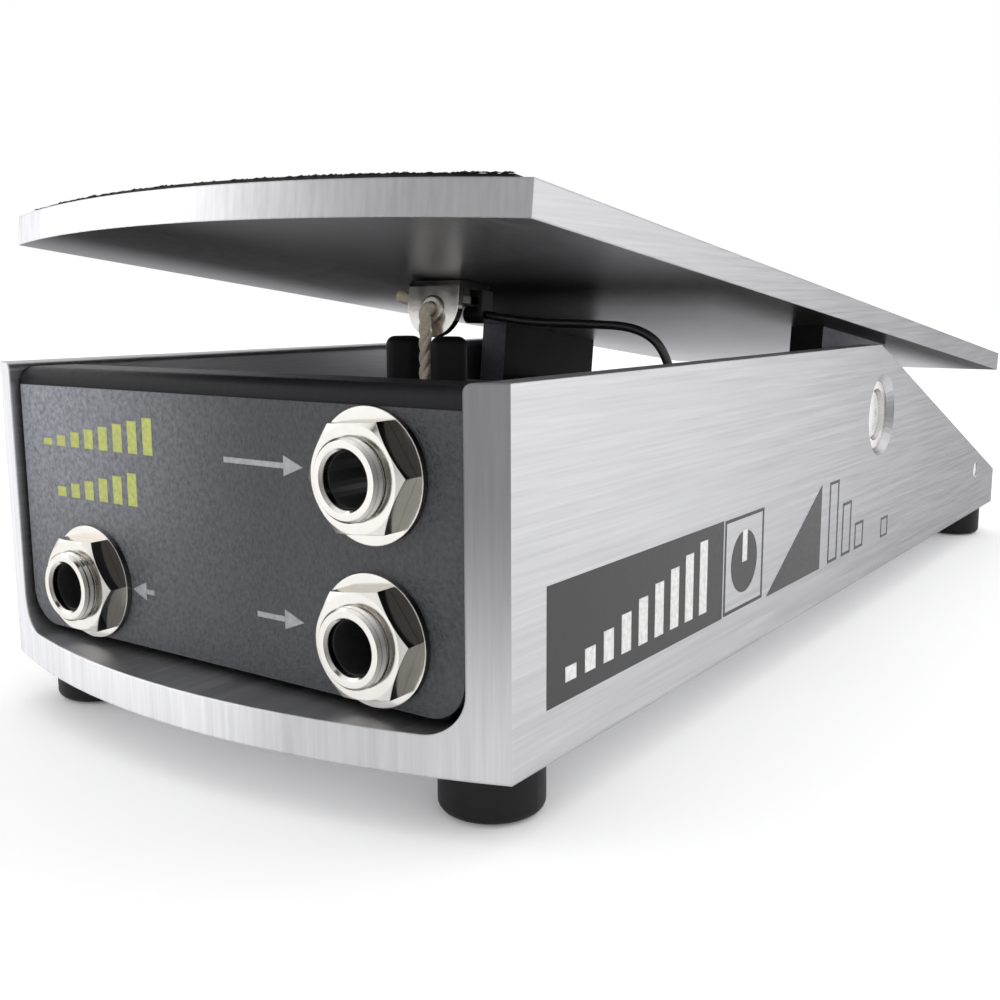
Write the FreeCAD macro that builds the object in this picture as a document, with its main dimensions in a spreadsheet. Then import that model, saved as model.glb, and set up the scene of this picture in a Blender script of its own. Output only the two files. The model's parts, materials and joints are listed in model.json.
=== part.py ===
import FreeCAD, Part
import math
import os

import Sketcher

# A foot volume pedal: an open aluminium channel whose treadle rocks on a cross axle and turns a
# potentiometer through a cord that a long spring keeps tight.
#
# Frame: +Z up, +X to the right, -Y towards the toe end with its jacks, +Y towards the heel.
# Origin: middle of the footprint, on the surface the feet stand on. Millimetres and degrees.

Vector = FreeCAD.Vector
X_AXIS = Vector(1, 0, 0)
Y_AXIS = Vector(0, 1, 0)
Z_AXIS = Vector(0, 0, 1)
ORIGIN = Vector(0, 0, 0)

doc = FreeCAD.newDocument("volume_pedal")
sheet = doc.addObject("Spreadsheet::Sheet", "dims")


class Size:
    """A length or angle together with the spreadsheet expression that gives it."""

    def __init__(self, value, text):
        self.value = float(value)
        self.text = text

    def __add__(self, other):
        other = as_size(other)
        return Size(self.value + other.value, f"({self.text} + {other.text})")

    def __sub__(self, other):
        other = as_size(other)
        return Size(self.value - other.value, f"({self.text} - {other.text})")

    def __mul__(self, other):
        other = as_size(other)
        return Size(self.value * other.value, f"({self.text} * {other.text})")

    def __truediv__(self, other):
        other = as_size(other)
        return Size(self.value / other.value, f"({self.text} / {other.text})")

    def __neg__(self):
        return Size(-self.value, f"(0 - {self.text})")

    def __float__(self):
        return self.value


def as_size(number):
    """A Size, or a plain number turned into one."""
    if isinstance(number, Size):
        return number
    return Size(number, repr(float(number)))


class Dimensions:
    """The driving dimensions: each one a spreadsheet cell with an alias."""

    def __init__(self):
        self.row = 0

    def add(self, name, value, meaning):
        self.row += 1
        sheet.set(f"A{self.row}", name)
        sheet.set(f"B{self.row}", str(value))
        sheet.set(f"C{self.row}", meaning)
        sheet.setAlias(f"B{self.row}", name)
        setattr(self, name, Size(value, f"dims.{name}"))


D = Dimensions()
for name, value, meaning in [
    # chassis
    ("channel_width", 88.9, "outside width of the channel"),
    ("channel_length", 225.0, "length on the centre line, from the front arc to the heel"),
    ("channel_height", 42.8, "height of the channel's walls"),
    ("channel_wall", 4.76, "thickness of the walls and the floor"),
    ("inner_fillet", 5.0, "radius inside the channel's bottom corners"),
    ("front_arc", 8.3, "how far the front arc bulges at the middle"),
    ("slope_start", 15.9, "Y where the walls start to slope down"),
    ("heel_height", 8.44, "height of the walls at the heel"),
    ("foot_height", 7.0, "height of the rubber feet"),
    ("foot_diameter", 12.7, "diameter of the rubber feet"),
    ("foot_front_spread", 36.2, "X of the front feet"),
    ("foot_front_place", -96.3, "Y of the front feet"),
    ("foot_rear_spread", 37.2, "X of the rear feet"),
    ("foot_rear_place", 104.0, "Y of the rear feet"),
    # pivot
    ("pivot_place", 18.0, "Y of the treadle's axle"),
    ("pivot_height", 36.75, "Z of the treadle's axle"),
    ("rest_tilt", 6.96, "angle of the treadle, toe up, at rest"),
    ("axle_diameter", 9.52, "diameter of the axle"),
    ("axle_setback", 1.9, "how far the axle's ends lie inside the walls' outer faces"),
    ("bushing_bore", 9.6, "bore of the pivot bushings"),
    ("bushing_diameter", 12.7, "outside diameter of the pivot bushings"),
    ("countersink", 15.1, "diameter of the countersinks round the pivot holes"),
    # small clearances and common fasteners
    ("snug", 0.04, "space left between pieces that touch"),
    ("running_room", 0.04, "radial clearance of a shaft in its bearing"),
    ("nut_room", 0.08, "how much larger a hole is than the screw thread in it"),
    ("lip_radius", 1.0, "radius on the inner top edges of the channel's walls"),
    ("screw_hole", 3.1, "diameter of the screw holes in the floor"),
    ("screw_shank", 3.0, "diameter of the floor screws"),
    ("screw_end", 0.6, "how far the floor screws end above the floor's lower face"),
    ("small_head", 5.6, "diameter of the floor screws' heads"),
    ("small_head_height", 2.0, "height of the floor screws' heads"),
    ("small_head_round", 1.0, "radius on top of the floor screws' heads"),
    ("screw_head", 6.0, "diameter of the foot screws' heads"),
    ("screw_head_height", 2.0, "height of the foot screws' heads"),
    ("foot_recess", 3.0, "depth of the feet's recesses"),
    ("foot_recess_room", 0.6, "how much wider the recesses are than the screw heads"),
    ("foot_edge", 1.2, "radius on the feet's lower edges"),
    ("foot_screw_end", 0.4, "how far the foot screws end below the floor's upper face"),
    ("post_setback", 0.3, "how far the spring post's ends lie inside the walls' faces"),
    # treadle, in its own frame: origin on the axle, Y along the plate, Z square to it
    ("tread_width", 88.4, "width of the treadle plate"),
    ("tread_thickness", 4.1, "thickness of the treadle plate"),
    ("tread_under", 14.97, "height of the plate's underside above the axle"),
    ("tread_toe", 120.74, "from the axle to the plate's front corners"),
    ("tread_heel", 91.76, "from the axle to the plate's rear edge"),
    ("tread_arc", 7.8, "how far the plate's front arc bulges at the middle"),
    ("grip_thickness", 0.8, "thickness of the grit sheet"),
    ("grip_side", 3.2, "bare strip along the plate's sides"),
    ("grip_front", 1.6, "bare strip along the plate's front arc"),
    ("grip_rear", 6.0, "bare strip along the plate's rear edge"),
    ("ear_outer", 37.55, "from the middle of the ears to their outer faces"),
    ("ear_shift", 0.55, "how far the ears' middle lies to the left"),
    ("ear_thickness", 6.0, "thickness of the ears"),
    ("ear_front", -14.2, "Y of the ears' front faces"),
    ("ear_rear", 22.6, "Y of the ears' rear faces"),
    ("ear_drop", 9.5, "how far the ears reach below the axle"),
    ("ear_screw", 4.0, "diameter of the ear screws"),
    ("ear_screw_head", 7.8, "diameter of the ear screws' heads"),
    ("ear_screw_head_height", 2.0, "depth of the seats of the plate's screws"),
    ("ear_screw_front", -8.0, "Y of the front ear screws"),
    ("ear_screw_rear", 15.0, "Y of the rear ear screws"),
    ("ear_screw_depth", 8.0, "how far the ear screws go into the ears"),
    ("set_screw", 4.0, "diameter of the set screws"),
    ("set_screw_inset", 0.2, "how far the set screws lie inside the ears"),
    ("axle_end_round", 0.6, "radius on the axle's ends"),
    ("spacer_diameter", 14.0, "diameter of the axle spacers"),
    ("spacer_thickness", 1.85, "mean thickness of the axle spacers"),
    ("grip_corner", 1.2, "how far the grit sheet's front corners lie behind the plate's"),
    # jack panel
    ("panel_face", -104.4, "Y of the steel panel's front face"),
    ("panel_sheet", 1.5, "thickness of the panel's steel"),
    ("panel_width", 78.6, "width of the panel"),
    ("panel_top", 49.2, "Z of the top of the panel's flange"),
    ("panel_bend", 2.4, "outside radius of the panel's bend"),
    ("panel_flange", 8.6, "depth of the panel's top flange"),
    ("panel_foot", 13.0, "depth of the panel's bottom flange"),
    ("panel_corner", 4.3, "cut at the panel's lower corners, clear of the channel's fillets"),
    ("panel_screw_side", 12.0, "X of the panel screws"),
    ("panel_screw_place", -96.0, "Y of the panel screws"),
    ("overlay_inset", 0.5, "how far the overlay's edges lie inside the panel's"),
    ("overlay_lift", 0.9, "from the floor to the overlay's lower edge"),
    ("overlay_thickness", 0.4, "thickness of the textured overlay"),
    ("jack_right", 26.4, "X of the tuner and out jacks"),
    ("jack_left", -24.4, "X of the in jack"),
    ("jack_low", 20.4, "Z of the in and out jacks"),
    ("jack_high", 39.1, "Z of the tuner jack"),
    ("jack_thread", 9.4, "diameter of the jacks' threaded bushings"),
    ("jack_bore", 6.45, "bore of the jacks"),
    ("jack_reach", 4.9, "how far the bushings stand out of the overlay"),
    ("jack_washer_diameter", 15.5, "diameter of the jack washers"),
    ("jack_washer_thickness", 0.8, "thickness of the jack washers"),
    ("jack_nut_flats", 12.2, "size across the jack nuts' flats"),
    ("jack_nut_thickness", 2.6, "thickness of the jack nuts"),
    ("jack_hole_room", 0.3, "how much larger the panel's holes are than the bushings"),
    ("thread_depth", 0.35, "depth of the bushings' threads"),
    ("thread_pitch", 0.79, "pitch of the bushings' threads"),
    ("jack_mouth", 0.35, "chamfer at the jacks' mouths"),
    ("jack_flange", 1.2, "thickness of the jacks' flanges and arms"),
    ("jack_flange_radius", 6.6, "radius of the jacks' flanges"),
    ("jack_arm_drop", 6.6, "how far the jacks' arms lie below their axes"),
    ("jack_arm_reach", 24.0, "how far the jacks' arms reach behind the panel's face"),
    ("jack_arm_width", 10.0, "width of the jacks' arms"),
    ("wafer_length", 8.0, "length of the jacks' insulating wafers"),
    ("wafer_height", 1.6, "height of the jacks' insulating wafers"),
    ("contact_sheet", 0.4, "thickness of the jacks' tip springs"),
    ("contact_width", 4.0, "width of the jacks' tip springs"),
    ("contact_reach", 6.0, "how far the tip springs stand out behind the arms"),
    ("contact_rise", 1.4, "height of the tip springs' bent ends"),
    # control and cord
    ("cord_diameter", 2.0, "diameter of the cord"),
    ("cord_place", -62.6, "Y of the cord's front run"),
    ("cord_gap", 0.05, "space between the cord's turns and the shaft"),
    ("pot_height", 25.0, "Z of the potentiometer's shaft"),
    ("pot_diameter", 24.0, "diameter of the potentiometer"),
    ("pot_depth", 10.5, "length of the potentiometer's can"),
    ("shaft_diameter", 6.35, "diameter of the potentiometer's shaft"),
    ("bracket_sheet", 1.5, "thickness of the potentiometer bracket's steel"),
    ("bracket_plate", 10.0, "X of the bracket plate's face on the cord's side"),
    ("bracket_foot", 6.0, "how far the bracket's floor flange reaches to the left"),
    ("bracket_shelf", 8.5, "how far the bracket's shelf reaches to the left"),
    ("bracket_front", -70.0, "Y of the bracket's front edges"),
    ("bracket_length", 28.0, "length of the bracket along Y"),
    ("shelf_height", 45.0, "Z of the top of the bracket's shelf"),
    ("slot_width", 3.2, "width of the cord's slot in the shelf"),
    ("bracket_screw_side", 1.0, "X of the bracket's floor screws"),
    ("bracket_screw_front", -66.0, "Y of the bracket's front floor screw"),
    ("bracket_screw_rear", -47.0, "Y of the bracket's rear floor screw"),
    ("pot_thread", 9.4, "diameter of the potentiometer's threaded bushing"),
    ("pot_bushing", 4.5, "how far the bushing stands out of the bracket"),
    ("pot_wall", 0.8, "thickness of the potentiometer's can"),
    ("pot_washer_size", 13.0, "diameter of the potentiometer's washer"),
    ("pot_washer_thickness", 0.8, "thickness of the potentiometer's washer"),
    ("pot_nut_thickness", 2.0, "thickness of the potentiometer's nut"),
    ("pot_lug_pitch", 5.0, "spacing of the potentiometer's lugs"),
    ("pot_lug_width", 2.4, "width of the potentiometer's lugs"),
    ("pot_lug_height", 5.5, "height of the potentiometer's lugs"),
    ("rotor_thickness", 2.0, "thickness of the rotor inside the can"),
    ("shaft_spare", 1.675, "how far the shaft stands out beyond the cord's turns"),
    ("shaft_slot_width", 1.0, "width of the slot in the shaft's end"),
    ("shaft_slot_depth", 1.2, "depth of the slot in the shaft's end"),
    ("wrap_pitch", 2.1, "spacing of the cord's turns on the shaft"),
    ("wrap_turns", 3.25, "how many turns the cord makes round the shaft"),
    ("bumper_diameter", 5.4, "diameter of the toe bumpers"),
    ("bumper_place", -62.0, "Y of the toe bumpers"),
    ("bumper_round", 1.3, "radius on the toe bumpers' tops"),
    ("bumper_top", 52.85, "Z of the tops of the toe bumpers"),
    ("bumper_spread", 4.3, "X of the toe bumpers"),
    ("tab_side", 0.4, "X of the cord bracket's middle"),
    ("tab_width", 9.5, "width of the cord bracket's tab"),
    ("tab_sheet", 1.2, "thickness of the cord bracket"),
    ("tab_drop", 8.7, "how far the tab hangs below the plate"),
    ("tab_place", -80.05, "Y of the tab's middle plane, along the plate"),
    ("tab_hole", 3.2, "diameter of the hole in the tab"),
    ("tab_hole_height", 10.4, "height of the tab's hole above the axle"),
    ("tab_flange_length", 8.2, "length of the cord bracket's flange"),
    ("tab_bend", 1.1, "outside radius of the cord bracket's bend"),
    ("tab_screw", 2.9, "diameter of the cord bracket's screw"),
    ("tab_screw_head", 5.6, "diameter of that screw's head"),
    ("tab_screw_side", 1.8, "X of the cord bracket's screw"),
    ("tab_screw_place", -75.4, "Y of the cord bracket's screw, along the plate"),
    ("tab_screw_drop", 3.3, "how far the cord bracket's screw reaches below the plate"),
    ("tab_nut_flats", 5.5, "size across the flats of that screw's nut"),
    ("tab_nut_thickness", 1.2, "thickness of that screw's nut"),
    ("eyelet_lip", 0.5, "how far the tab's eyelet stands out of its faces"),
    ("eyelet_lip_round", 0.35, "radius on the front of the tab's eyelet"),
    ("eyelet_rim", 4.2, "diameter of the rims of the tab's eyelet"),
    ("eyelet_bore", 2.3, "bore of the tab's eyelet"),
    ("knot_size", 2.8, "diameter of the cord's end knot"),
    ("knot_place", -77.2, "Y of the knot, along the plate"),
    ("knot_height", 10.1, "height of the knot above the axle"),
    ("tail_length", 9.8, "length of the cord's tail beyond its knot"),
    ("tail_diameter", 1.9, "diameter of the cord's tail"),
    ("tail_rise", 16.6, "angle at which the tail rises"),
    ("terminal_size", 5.5, "diameter of the wire terminal's ring"),
    ("terminal_barrel", 2.6, "diameter of the wire terminal's barrel"),
    ("terminal_height", 10.15, "height of that barrel above the axle"),
    ("terminal_start", 3.2, "X where that barrel starts"),
    ("terminal_end", 6.7, "X where that barrel ends"),
    ("barrel_diameter", 2.4, "diameter of the ground lug's barrel"),
    ("barrel_length", 4.0, "length of the ground lug's barrel"),
    ("terminal_sheet", 0.8, "thickness of the wire terminals and lugs"),
    ("lug_size", 7.0, "diameter of the ground lug's ring"),
    ("lug_side", 31.5, "X of the ground lug"),
    ("lug_place", -26.0, "Y of the ground lug"),
    ("post_place", 94.1, "Y of the spring post"),
    ("post_height", 17.3, "Z of the spring post"),
    ("post_diameter", 4.2, "diameter of the spring post"),
    ("spring_diameter", 6.4, "outside diameter of the tension spring"),
    ("spring_wire", 0.8, "diameter of the spring's wire"),
    ("spring_hook", 5.5, "from the spring's coils to the middle of each hook"),
    ("eyelet_reach", 70.0, "from the shaft to the eyelet's hole, along the cord"),
    ("eyelet_size", 7.0, "diameter of the eyelet's ring"),
    ("eyelet_hole", 4.0, "diameter of the eyelet's hole"),
    ("eyelet_thickness", 1.0, "thickness of the eyelet's ring"),
    ("eyelet_hook", 3.95, "from the eyelet's hole to the middle of the spring's hook"),
    ("crimp_diameter", 3.2, "diameter of the eyelet's crimped barrel"),
    ("crimp_length", 7.0, "length of the eyelet's crimped barrel"),
    ("wire_diameter", 1.25, "diameter of the ground wire"),
]:
    D.add(name, value, meaning)
doc.recompute()

HALF_LENGTH = D.channel_length / 2
HALF_WIDTH = D.channel_width / 2
FLOOR = D.foot_height
FLOOR_TOP = D.foot_height + D.channel_wall
WALL_TOP = D.foot_height + D.channel_height
INNER = HALF_WIDTH - D.channel_wall
FRONT_CORNER = -HALF_LENGTH + D.front_arc
PIVOT = Vector(0, float(D.pivot_place), float(D.pivot_height))
OVERLAY_FACE = D.panel_face - D.overlay_thickness
SHAFT_PLACE = D.cord_place + D.shaft_diameter / 2 + D.cord_diameter / 2 + D.cord_gap
WRAP_RADIUS = D.shaft_diameter / 2 + D.cord_diameter / 2 + D.cord_gap
WRAP_SPAN = D.wrap_pitch * D.wrap_turns
BRACKET_MIDDLE = D.bracket_front + D.bracket_length / 2
# each jack's name, X, Z and how far its nut is turned, in degrees
JACKS = [
    ("in", D.jack_left, D.jack_low, -1.0),
    ("out", D.jack_right, D.jack_low, -7.0),
    ("tuner", D.jack_right, D.jack_high, -4.0),
]
FOOT_PLACES = [
    (spread * side, along)
    for side in (1, -1)
    for spread, along in (
        (D.foot_front_spread, D.foot_front_place),
        (D.foot_rear_spread, D.foot_rear_place),
    )
]
PANEL_SCREWS = [(D.panel_screw_side * side, D.panel_screw_place) for side in (-1, 1)]
BRACKET_SCREWS = [
    (D.bracket_screw_side, along) for along in (D.bracket_screw_front, D.bracket_screw_rear)
]
EAR_MIDDLE = D.ear_outer - D.ear_thickness / 2
EAR_SCREWS = [
    (EAR_MIDDLE * side - D.ear_shift, along)
    for side in (-1, 1)
    for along in (D.ear_screw_front, D.ear_screw_rear)
]
TAB_SCREW = (D.tab_screw_side, D.tab_screw_place)
# where the ground wire passes on its way from the treadle down to its lug on the floor
WIRE_POINTS = [
    (14.0, -56.0, 54.9),
    (24.0, -56.1, 54.75),
    (33.0, -56.0, 54.4),
    (37.3, -55.6, 50.9),
    (38.4, -54.4, 41.0),
    (37.0, -51.0, 28.0),
    (35.2, -47.0, 19.0),
    (33.5, -43.5, 14.5),
]
WIRE_END_GAP = 0.35
CORD_BEND = 1.5
CORD_END_GAP = 0.15
CORD_START_GAP = 0.1
CRIMP_LAP = 0.5
HOOK_ROOM = 0.05
HOOK_TAIL = 1.5
HOOK_LAP = 3.0
# the cord leaves the bottom of the shaft and runs straight to the spring post
CORD_LEAVES = Vector(-float(WRAP_SPAN), float(SHAFT_PLACE), float(D.pot_height - WRAP_RADIUS))
POST_AT = Vector(-float(WRAP_SPAN), float(D.post_place), float(D.post_height))
PULL = POST_AT - CORD_LEAVES
PULL_TURN = FreeCAD.Rotation(Y_AXIS, PULL)


# ---------------------------------------------------------------- helpers


def bind(thing, **sizes):
    """Bind properties of a document object to spreadsheet expressions."""
    for name, size in sizes.items():
        thing.setExpression(name, as_size(size).text)
    return thing


def place(thing, x=0, y=0, z=0, rotation=None):
    """Put a document object at a point, bound to the sheet, turned by a fixed rotation."""
    thing.Placement = FreeCAD.Placement(ORIGIN, rotation or FreeCAD.Rotation())
    for name, size in (("x", x), ("y", y), ("z", z)):
        thing.setExpression(f"Placement.Base.{name}", as_size(size).text)
    return thing


def on_treadle(thing):
    """Give a piece made in the treadle's own frame its place on the axle, at the rest tilt."""
    thing.Placement = FreeCAD.Placement(PIVOT, FreeCAD.Rotation(X_AXIS, -float(D.rest_tilt)))
    thing.setExpression("Placement.Base.y", D.pivot_place.text)
    thing.setExpression("Placement.Base.z", D.pivot_height.text)
    return thing


TURNS = {
    "X": FreeCAD.Rotation(Y_AXIS, 90),
    "Y": FreeCAD.Rotation(X_AXIS, -90),
    "Z": FreeCAD.Rotation(),
}


def box(name, x, y, z):
    """A box between two Sizes along each axis."""
    made = doc.addObject("Part::Box", name)
    bind(made, Length=x[1] - x[0], Width=y[1] - y[0], Height=z[1] - z[0])
    return place(made, x[0], y[0], z[0])


def rod(name, diameter, length, at, along="Z"):
    """A cylinder that starts at a point and runs along a positive axis."""
    made = doc.addObject("Part::Cylinder", name)
    bind(made, Radius=as_size(diameter) / 2, Height=length)
    return place(made, *at, rotation=TURNS[along])


def cone(name, first, last, length, at, along="Z"):
    """A cone frustum between two diameters that starts at a point and runs along an axis."""
    made = doc.addObject("Part::Cone", name)
    bind(made, Radius1=as_size(first) / 2, Radius2=as_size(last) / 2, Height=length)
    return place(made, *at, rotation=TURNS[along])


def cut(name, base, *tools):
    """A base less one or more tools."""
    made = doc.addObject("Part::Cut", name)
    made.Base = base
    made.Tool = tools[0] if len(tools) == 1 else fuse(f"{name}_tools", *tools)
    return made


def fuse(name, *things):
    """Several solids joined into one."""
    made = doc.addObject("Part::MultiFuse", name)
    made.Shapes = list(things)
    made.Refine = True
    return made


def common(name, first, second):
    """What two solids share."""
    made = doc.addObject("Part::Common", name)
    made.Base = first
    made.Tool = second
    return made


def group(name, things):
    """Separate solids kept in one node."""
    made = doc.addObject("Part::Compound", name)
    made.Links = list(things)
    return made


def round_edges(name, base, radius, chosen):
    """Round the edges of a base that a test picks."""
    doc.recompute()
    made = doc.addObject("Part::Fillet", name)
    made.Base = base
    edges = base.Shape.Edges
    made.Edges = [(i + 1, radius, radius) for i, edge in enumerate(edges) if chosen(edge)]
    return made


NODES = []


def node(thing, name):
    """Mark a document object as a sub-part and give it its node name."""
    thing.Label = name
    NODES.append(thing)
    return thing


# -------------------------------------------------- sketches and features


def new_body(name):
    """A PartDesign body that is a sub-part."""
    return node(doc.addObject("PartDesign::Body", f"{name}_body"), name)


def new_sketch(body, name, plane):
    """A sketch on one of the body's own origin planes."""
    made = body.newObject("Sketcher::SketchObject", name)
    support = [one for one in body.Origin.OriginFeatures if one.Role == f"{plane}_Plane"]
    made.AttachmentSupport = (support[0], [""])
    made.MapMode = "FlatFace"
    return made


def fix(sketch, kind, name, target, size):
    """Add a driving constraint and bind it to the sheet."""
    size = as_size(size)
    index = sketch.addConstraint(Sketcher.Constraint(kind, *target, size.value))
    sketch.renameConstraint(index, name)
    sketch.setExpression(f"Constraints.{name}", size.text)


def same(point, other):
    """Whether two points fall together."""
    return (point - other).Length < 1e-6


def outline(sketch, corners):
    """A closed outline. Each corner is (x, y), or (x, y, radius, middle) where an arc leaves it.

    The arc runs to the next corner, has that radius and passes near that middle point.
    """
    points = [Vector(float(c[0]), float(c[1]), 0) for c in corners]
    first = sketch.GeometryCount
    ends = []
    for i, corner in enumerate(corners):
        start, end = points[i], points[(i + 1) % len(points)]
        index = first + i
        if len(corner) == 2:
            sketch.addGeometry(Part.LineSegment(start, end), False)
            ends.append((1, 2))
            continue
        middle = Vector(float(corner[3][0]), float(corner[3][1]), 0)
        sketch.addGeometry(Part.Arc(start, middle, end), False)
        forward = same(sketch.Geometry[index].StartPoint, start)
        ends.append((1, 2) if forward else (2, 1))
    for i in range(len(corners)):
        after = (i + 1) % len(corners)
        joint = (first + i, ends[i][1], first + after, ends[after][0])
        sketch.addConstraint(Sketcher.Constraint("Coincident", *joint))
    for i, corner in enumerate(corners):
        end = (-1, 1, first + i, ends[i][0])
        fix(sketch, "DistanceX", f"x{first + i}", end, corner[0])
        fix(sketch, "DistanceY", f"y{first + i}", end, corner[1])
        if len(corner) > 2:
            fix(sketch, "Radius", f"r{first + i}", (first + i,), corner[2])
    return sketch


def circles(sketch, places):
    """Circles at (x, y, diameter)."""
    for x, y, diameter in places:
        x, y, diameter = as_size(x), as_size(y), as_size(diameter)
        index = sketch.GeometryCount
        centre = Vector(x.value, y.value, 0)
        sketch.addGeometry(Part.Circle(centre, Z_AXIS, diameter.value / 2), False)
        fix(sketch, "DistanceX", f"x{index}", (-1, 1, index, 3), x)
        fix(sketch, "DistanceY", f"y{index}", (-1, 1, index, 3), y)
        fix(sketch, "Diameter", f"d{index}", (index,), diameter)
    return sketch


def pad(body, sketch, length, side="Symmetric", backwards=False):
    """Pad a sketch by a bound length."""
    made = body.newObject("PartDesign::Pad", f"{sketch.Name}_pad")
    made.Profile = sketch
    made.SideType = side
    made.Reversed = backwards
    bind(made, Length=length)
    doc.recompute()
    return made


def pocket(body, sketch, top=None, depth=None):
    """Cut a sketch through everything, or down from a height, and check that it cuts."""
    before = body.Shape.Volume
    made = body.newObject("PartDesign::Pocket", f"{sketch.Name}_pocket")
    made.Profile = sketch
    if depth is None:
        made.SideType = "Symmetric"
        made.Type = "ThroughAll"
    else:
        sketch.setExpression("AttachmentOffset.Base.z", as_size(top).text)
        bind(made, Length=depth)
    doc.recompute()
    if body.Shape.Volume > before - 1e-3:
        raise RuntimeError(f"{made.Name} cuts nothing")
    return made


def chamfer(body, size, chosen):
    """Chamfer the edges of the body's tip that a test picks."""
    bind(dress(body, "Chamfer", chosen), Size=size)
    doc.recompute()


def fillet(body, radius, chosen):
    """Round the edges of the body's tip that a test picks."""
    bind(dress(body, "Fillet", chosen), Radius=radius)
    doc.recompute()


def dress(body, kind, chosen):
    """Add a chamfer or fillet to the edges of the body's tip that a test picks."""
    base = body.Tip
    names = [f"Edge{i + 1}" for i, edge in enumerate(base.Shape.Edges) if chosen(edge)]
    made = body.newObject(f"PartDesign::{kind}", f"{body.Name}_{kind.lower()}")
    made.Base = (base, names)
    return made


def revolve(body, sketch, axis):
    """Turn a sketch once round one of the sketch's own axes."""
    made = body.newObject("PartDesign::Revolution", f"{sketch.Name}_turned")
    made.Profile = sketch
    made.ReferenceAxis = (sketch, [axis])
    made.Angle = 360
    doc.recompute()
    return made


def is_circle(edge, radius):
    """Whether an edge is a full circle of that radius."""
    curve = edge.Curve
    return isinstance(curve, Part.Circle) and abs(curve.Radius - float(radius)) < 1e-4


def arc_radius(half_width, bulge):
    """Radius of an arc from its half width and its bulge, as a Size."""
    return (half_width * half_width + bulge * bulge) / (bulge * 2)


def tube(points, diameter, bends=None):
    """A tube along straight runs joined by tangent arcs, and its smallest bend radius."""
    points = [Vector(*p) for p in points]
    edges = []
    start = points[0]
    radii = []
    for i in range(1, len(points) - 1):
        before = points[i] - points[i - 1]
        after = points[i + 1] - points[i]
        half_turn = before.getAngle(after) / 2
        reach = 0.45 * min(before.Length, after.Length)
        if bends and i in bends:
            reach = bends[i] * math.tan(half_turn)
        inward = points[i] - before.normalize() * reach
        outward = points[i] + after.normalize() * reach
        radius = reach / math.tan(half_turn)
        radii.append(round(radius, 1))
        toward = (inward + outward) * 0.5 - points[i]
        bisector = math.hypot(radius, reach) - radius
        middle = points[i] + toward.normalize() * bisector
        edges.append(Part.LineSegment(start, inward).toShape())
        edges.append(Part.Arc(inward, middle, outward).toShape())
        start = outward
    edges.append(Part.LineSegment(start, points[-1]).toShape())
    path = Part.Wire(edges)
    ring = Part.Wire(Part.makeCircle(diameter / 2, points[0], points[1] - points[0]))
    swept = path.makePipeShell([ring], True, True)
    expected = math.pi * diameter ** 2 / 4 * path.Length
    if abs(swept.Volume - expected) > 0.01 * expected:
        raise RuntimeError("a tube's volume is not its section times its length")
    return swept, path.Length, radii


def feature(name, shape, placed=None):
    """A plain feature that holds a shape made by Part's own functions."""
    made = doc.addObject("Part::Feature", f"{name}_shape")
    made.Shape = shape
    if placed is not None:
        made.Placement = placed
    return made


# ---------------------------------------------------------------- chassis


def front_cut(body, name, half_width, corner, bulge):
    """Cut the front of a plate or channel to a convex arc seen from above."""
    beyond = corner - bulge - 2
    wide = half_width + 2
    radius = arc_radius(half_width, bulge)
    sketch = new_sketch(body, name, "XY")
    outline(
        sketch,
        [
            (-half_width, corner, radius, (0, float(corner - bulge))),
            (half_width, corner),
            (wide, corner),
            (wide, beyond),
            (-wide, beyond),
            (-wide, corner),
        ],
    )
    return pocket(body, sketch)


def lies_along_y(edge, x, z):
    """Whether an edge runs along Y at plus or minus that X and at that Z."""
    bounds = edge.BoundBox
    flat = bounds.XLength < 1e-3 and bounds.ZLength < 1e-3
    return flat and is_near(abs(bounds.XMin), x) and is_near(bounds.ZMin, z)


def lies_along_x(edge, y, heights):
    """Whether an edge runs along X at that Y and at one of those heights."""
    bounds = edge.BoundBox
    flat = bounds.YLength < 1e-3 and bounds.ZLength < 1e-3
    return flat and is_near(bounds.YMin, y) and any(is_near(bounds.ZMin, z) for z in heights)


def is_near(first, second):
    """Whether two lengths are the same."""
    return abs(float(first) - float(second)) < 1e-3


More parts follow.
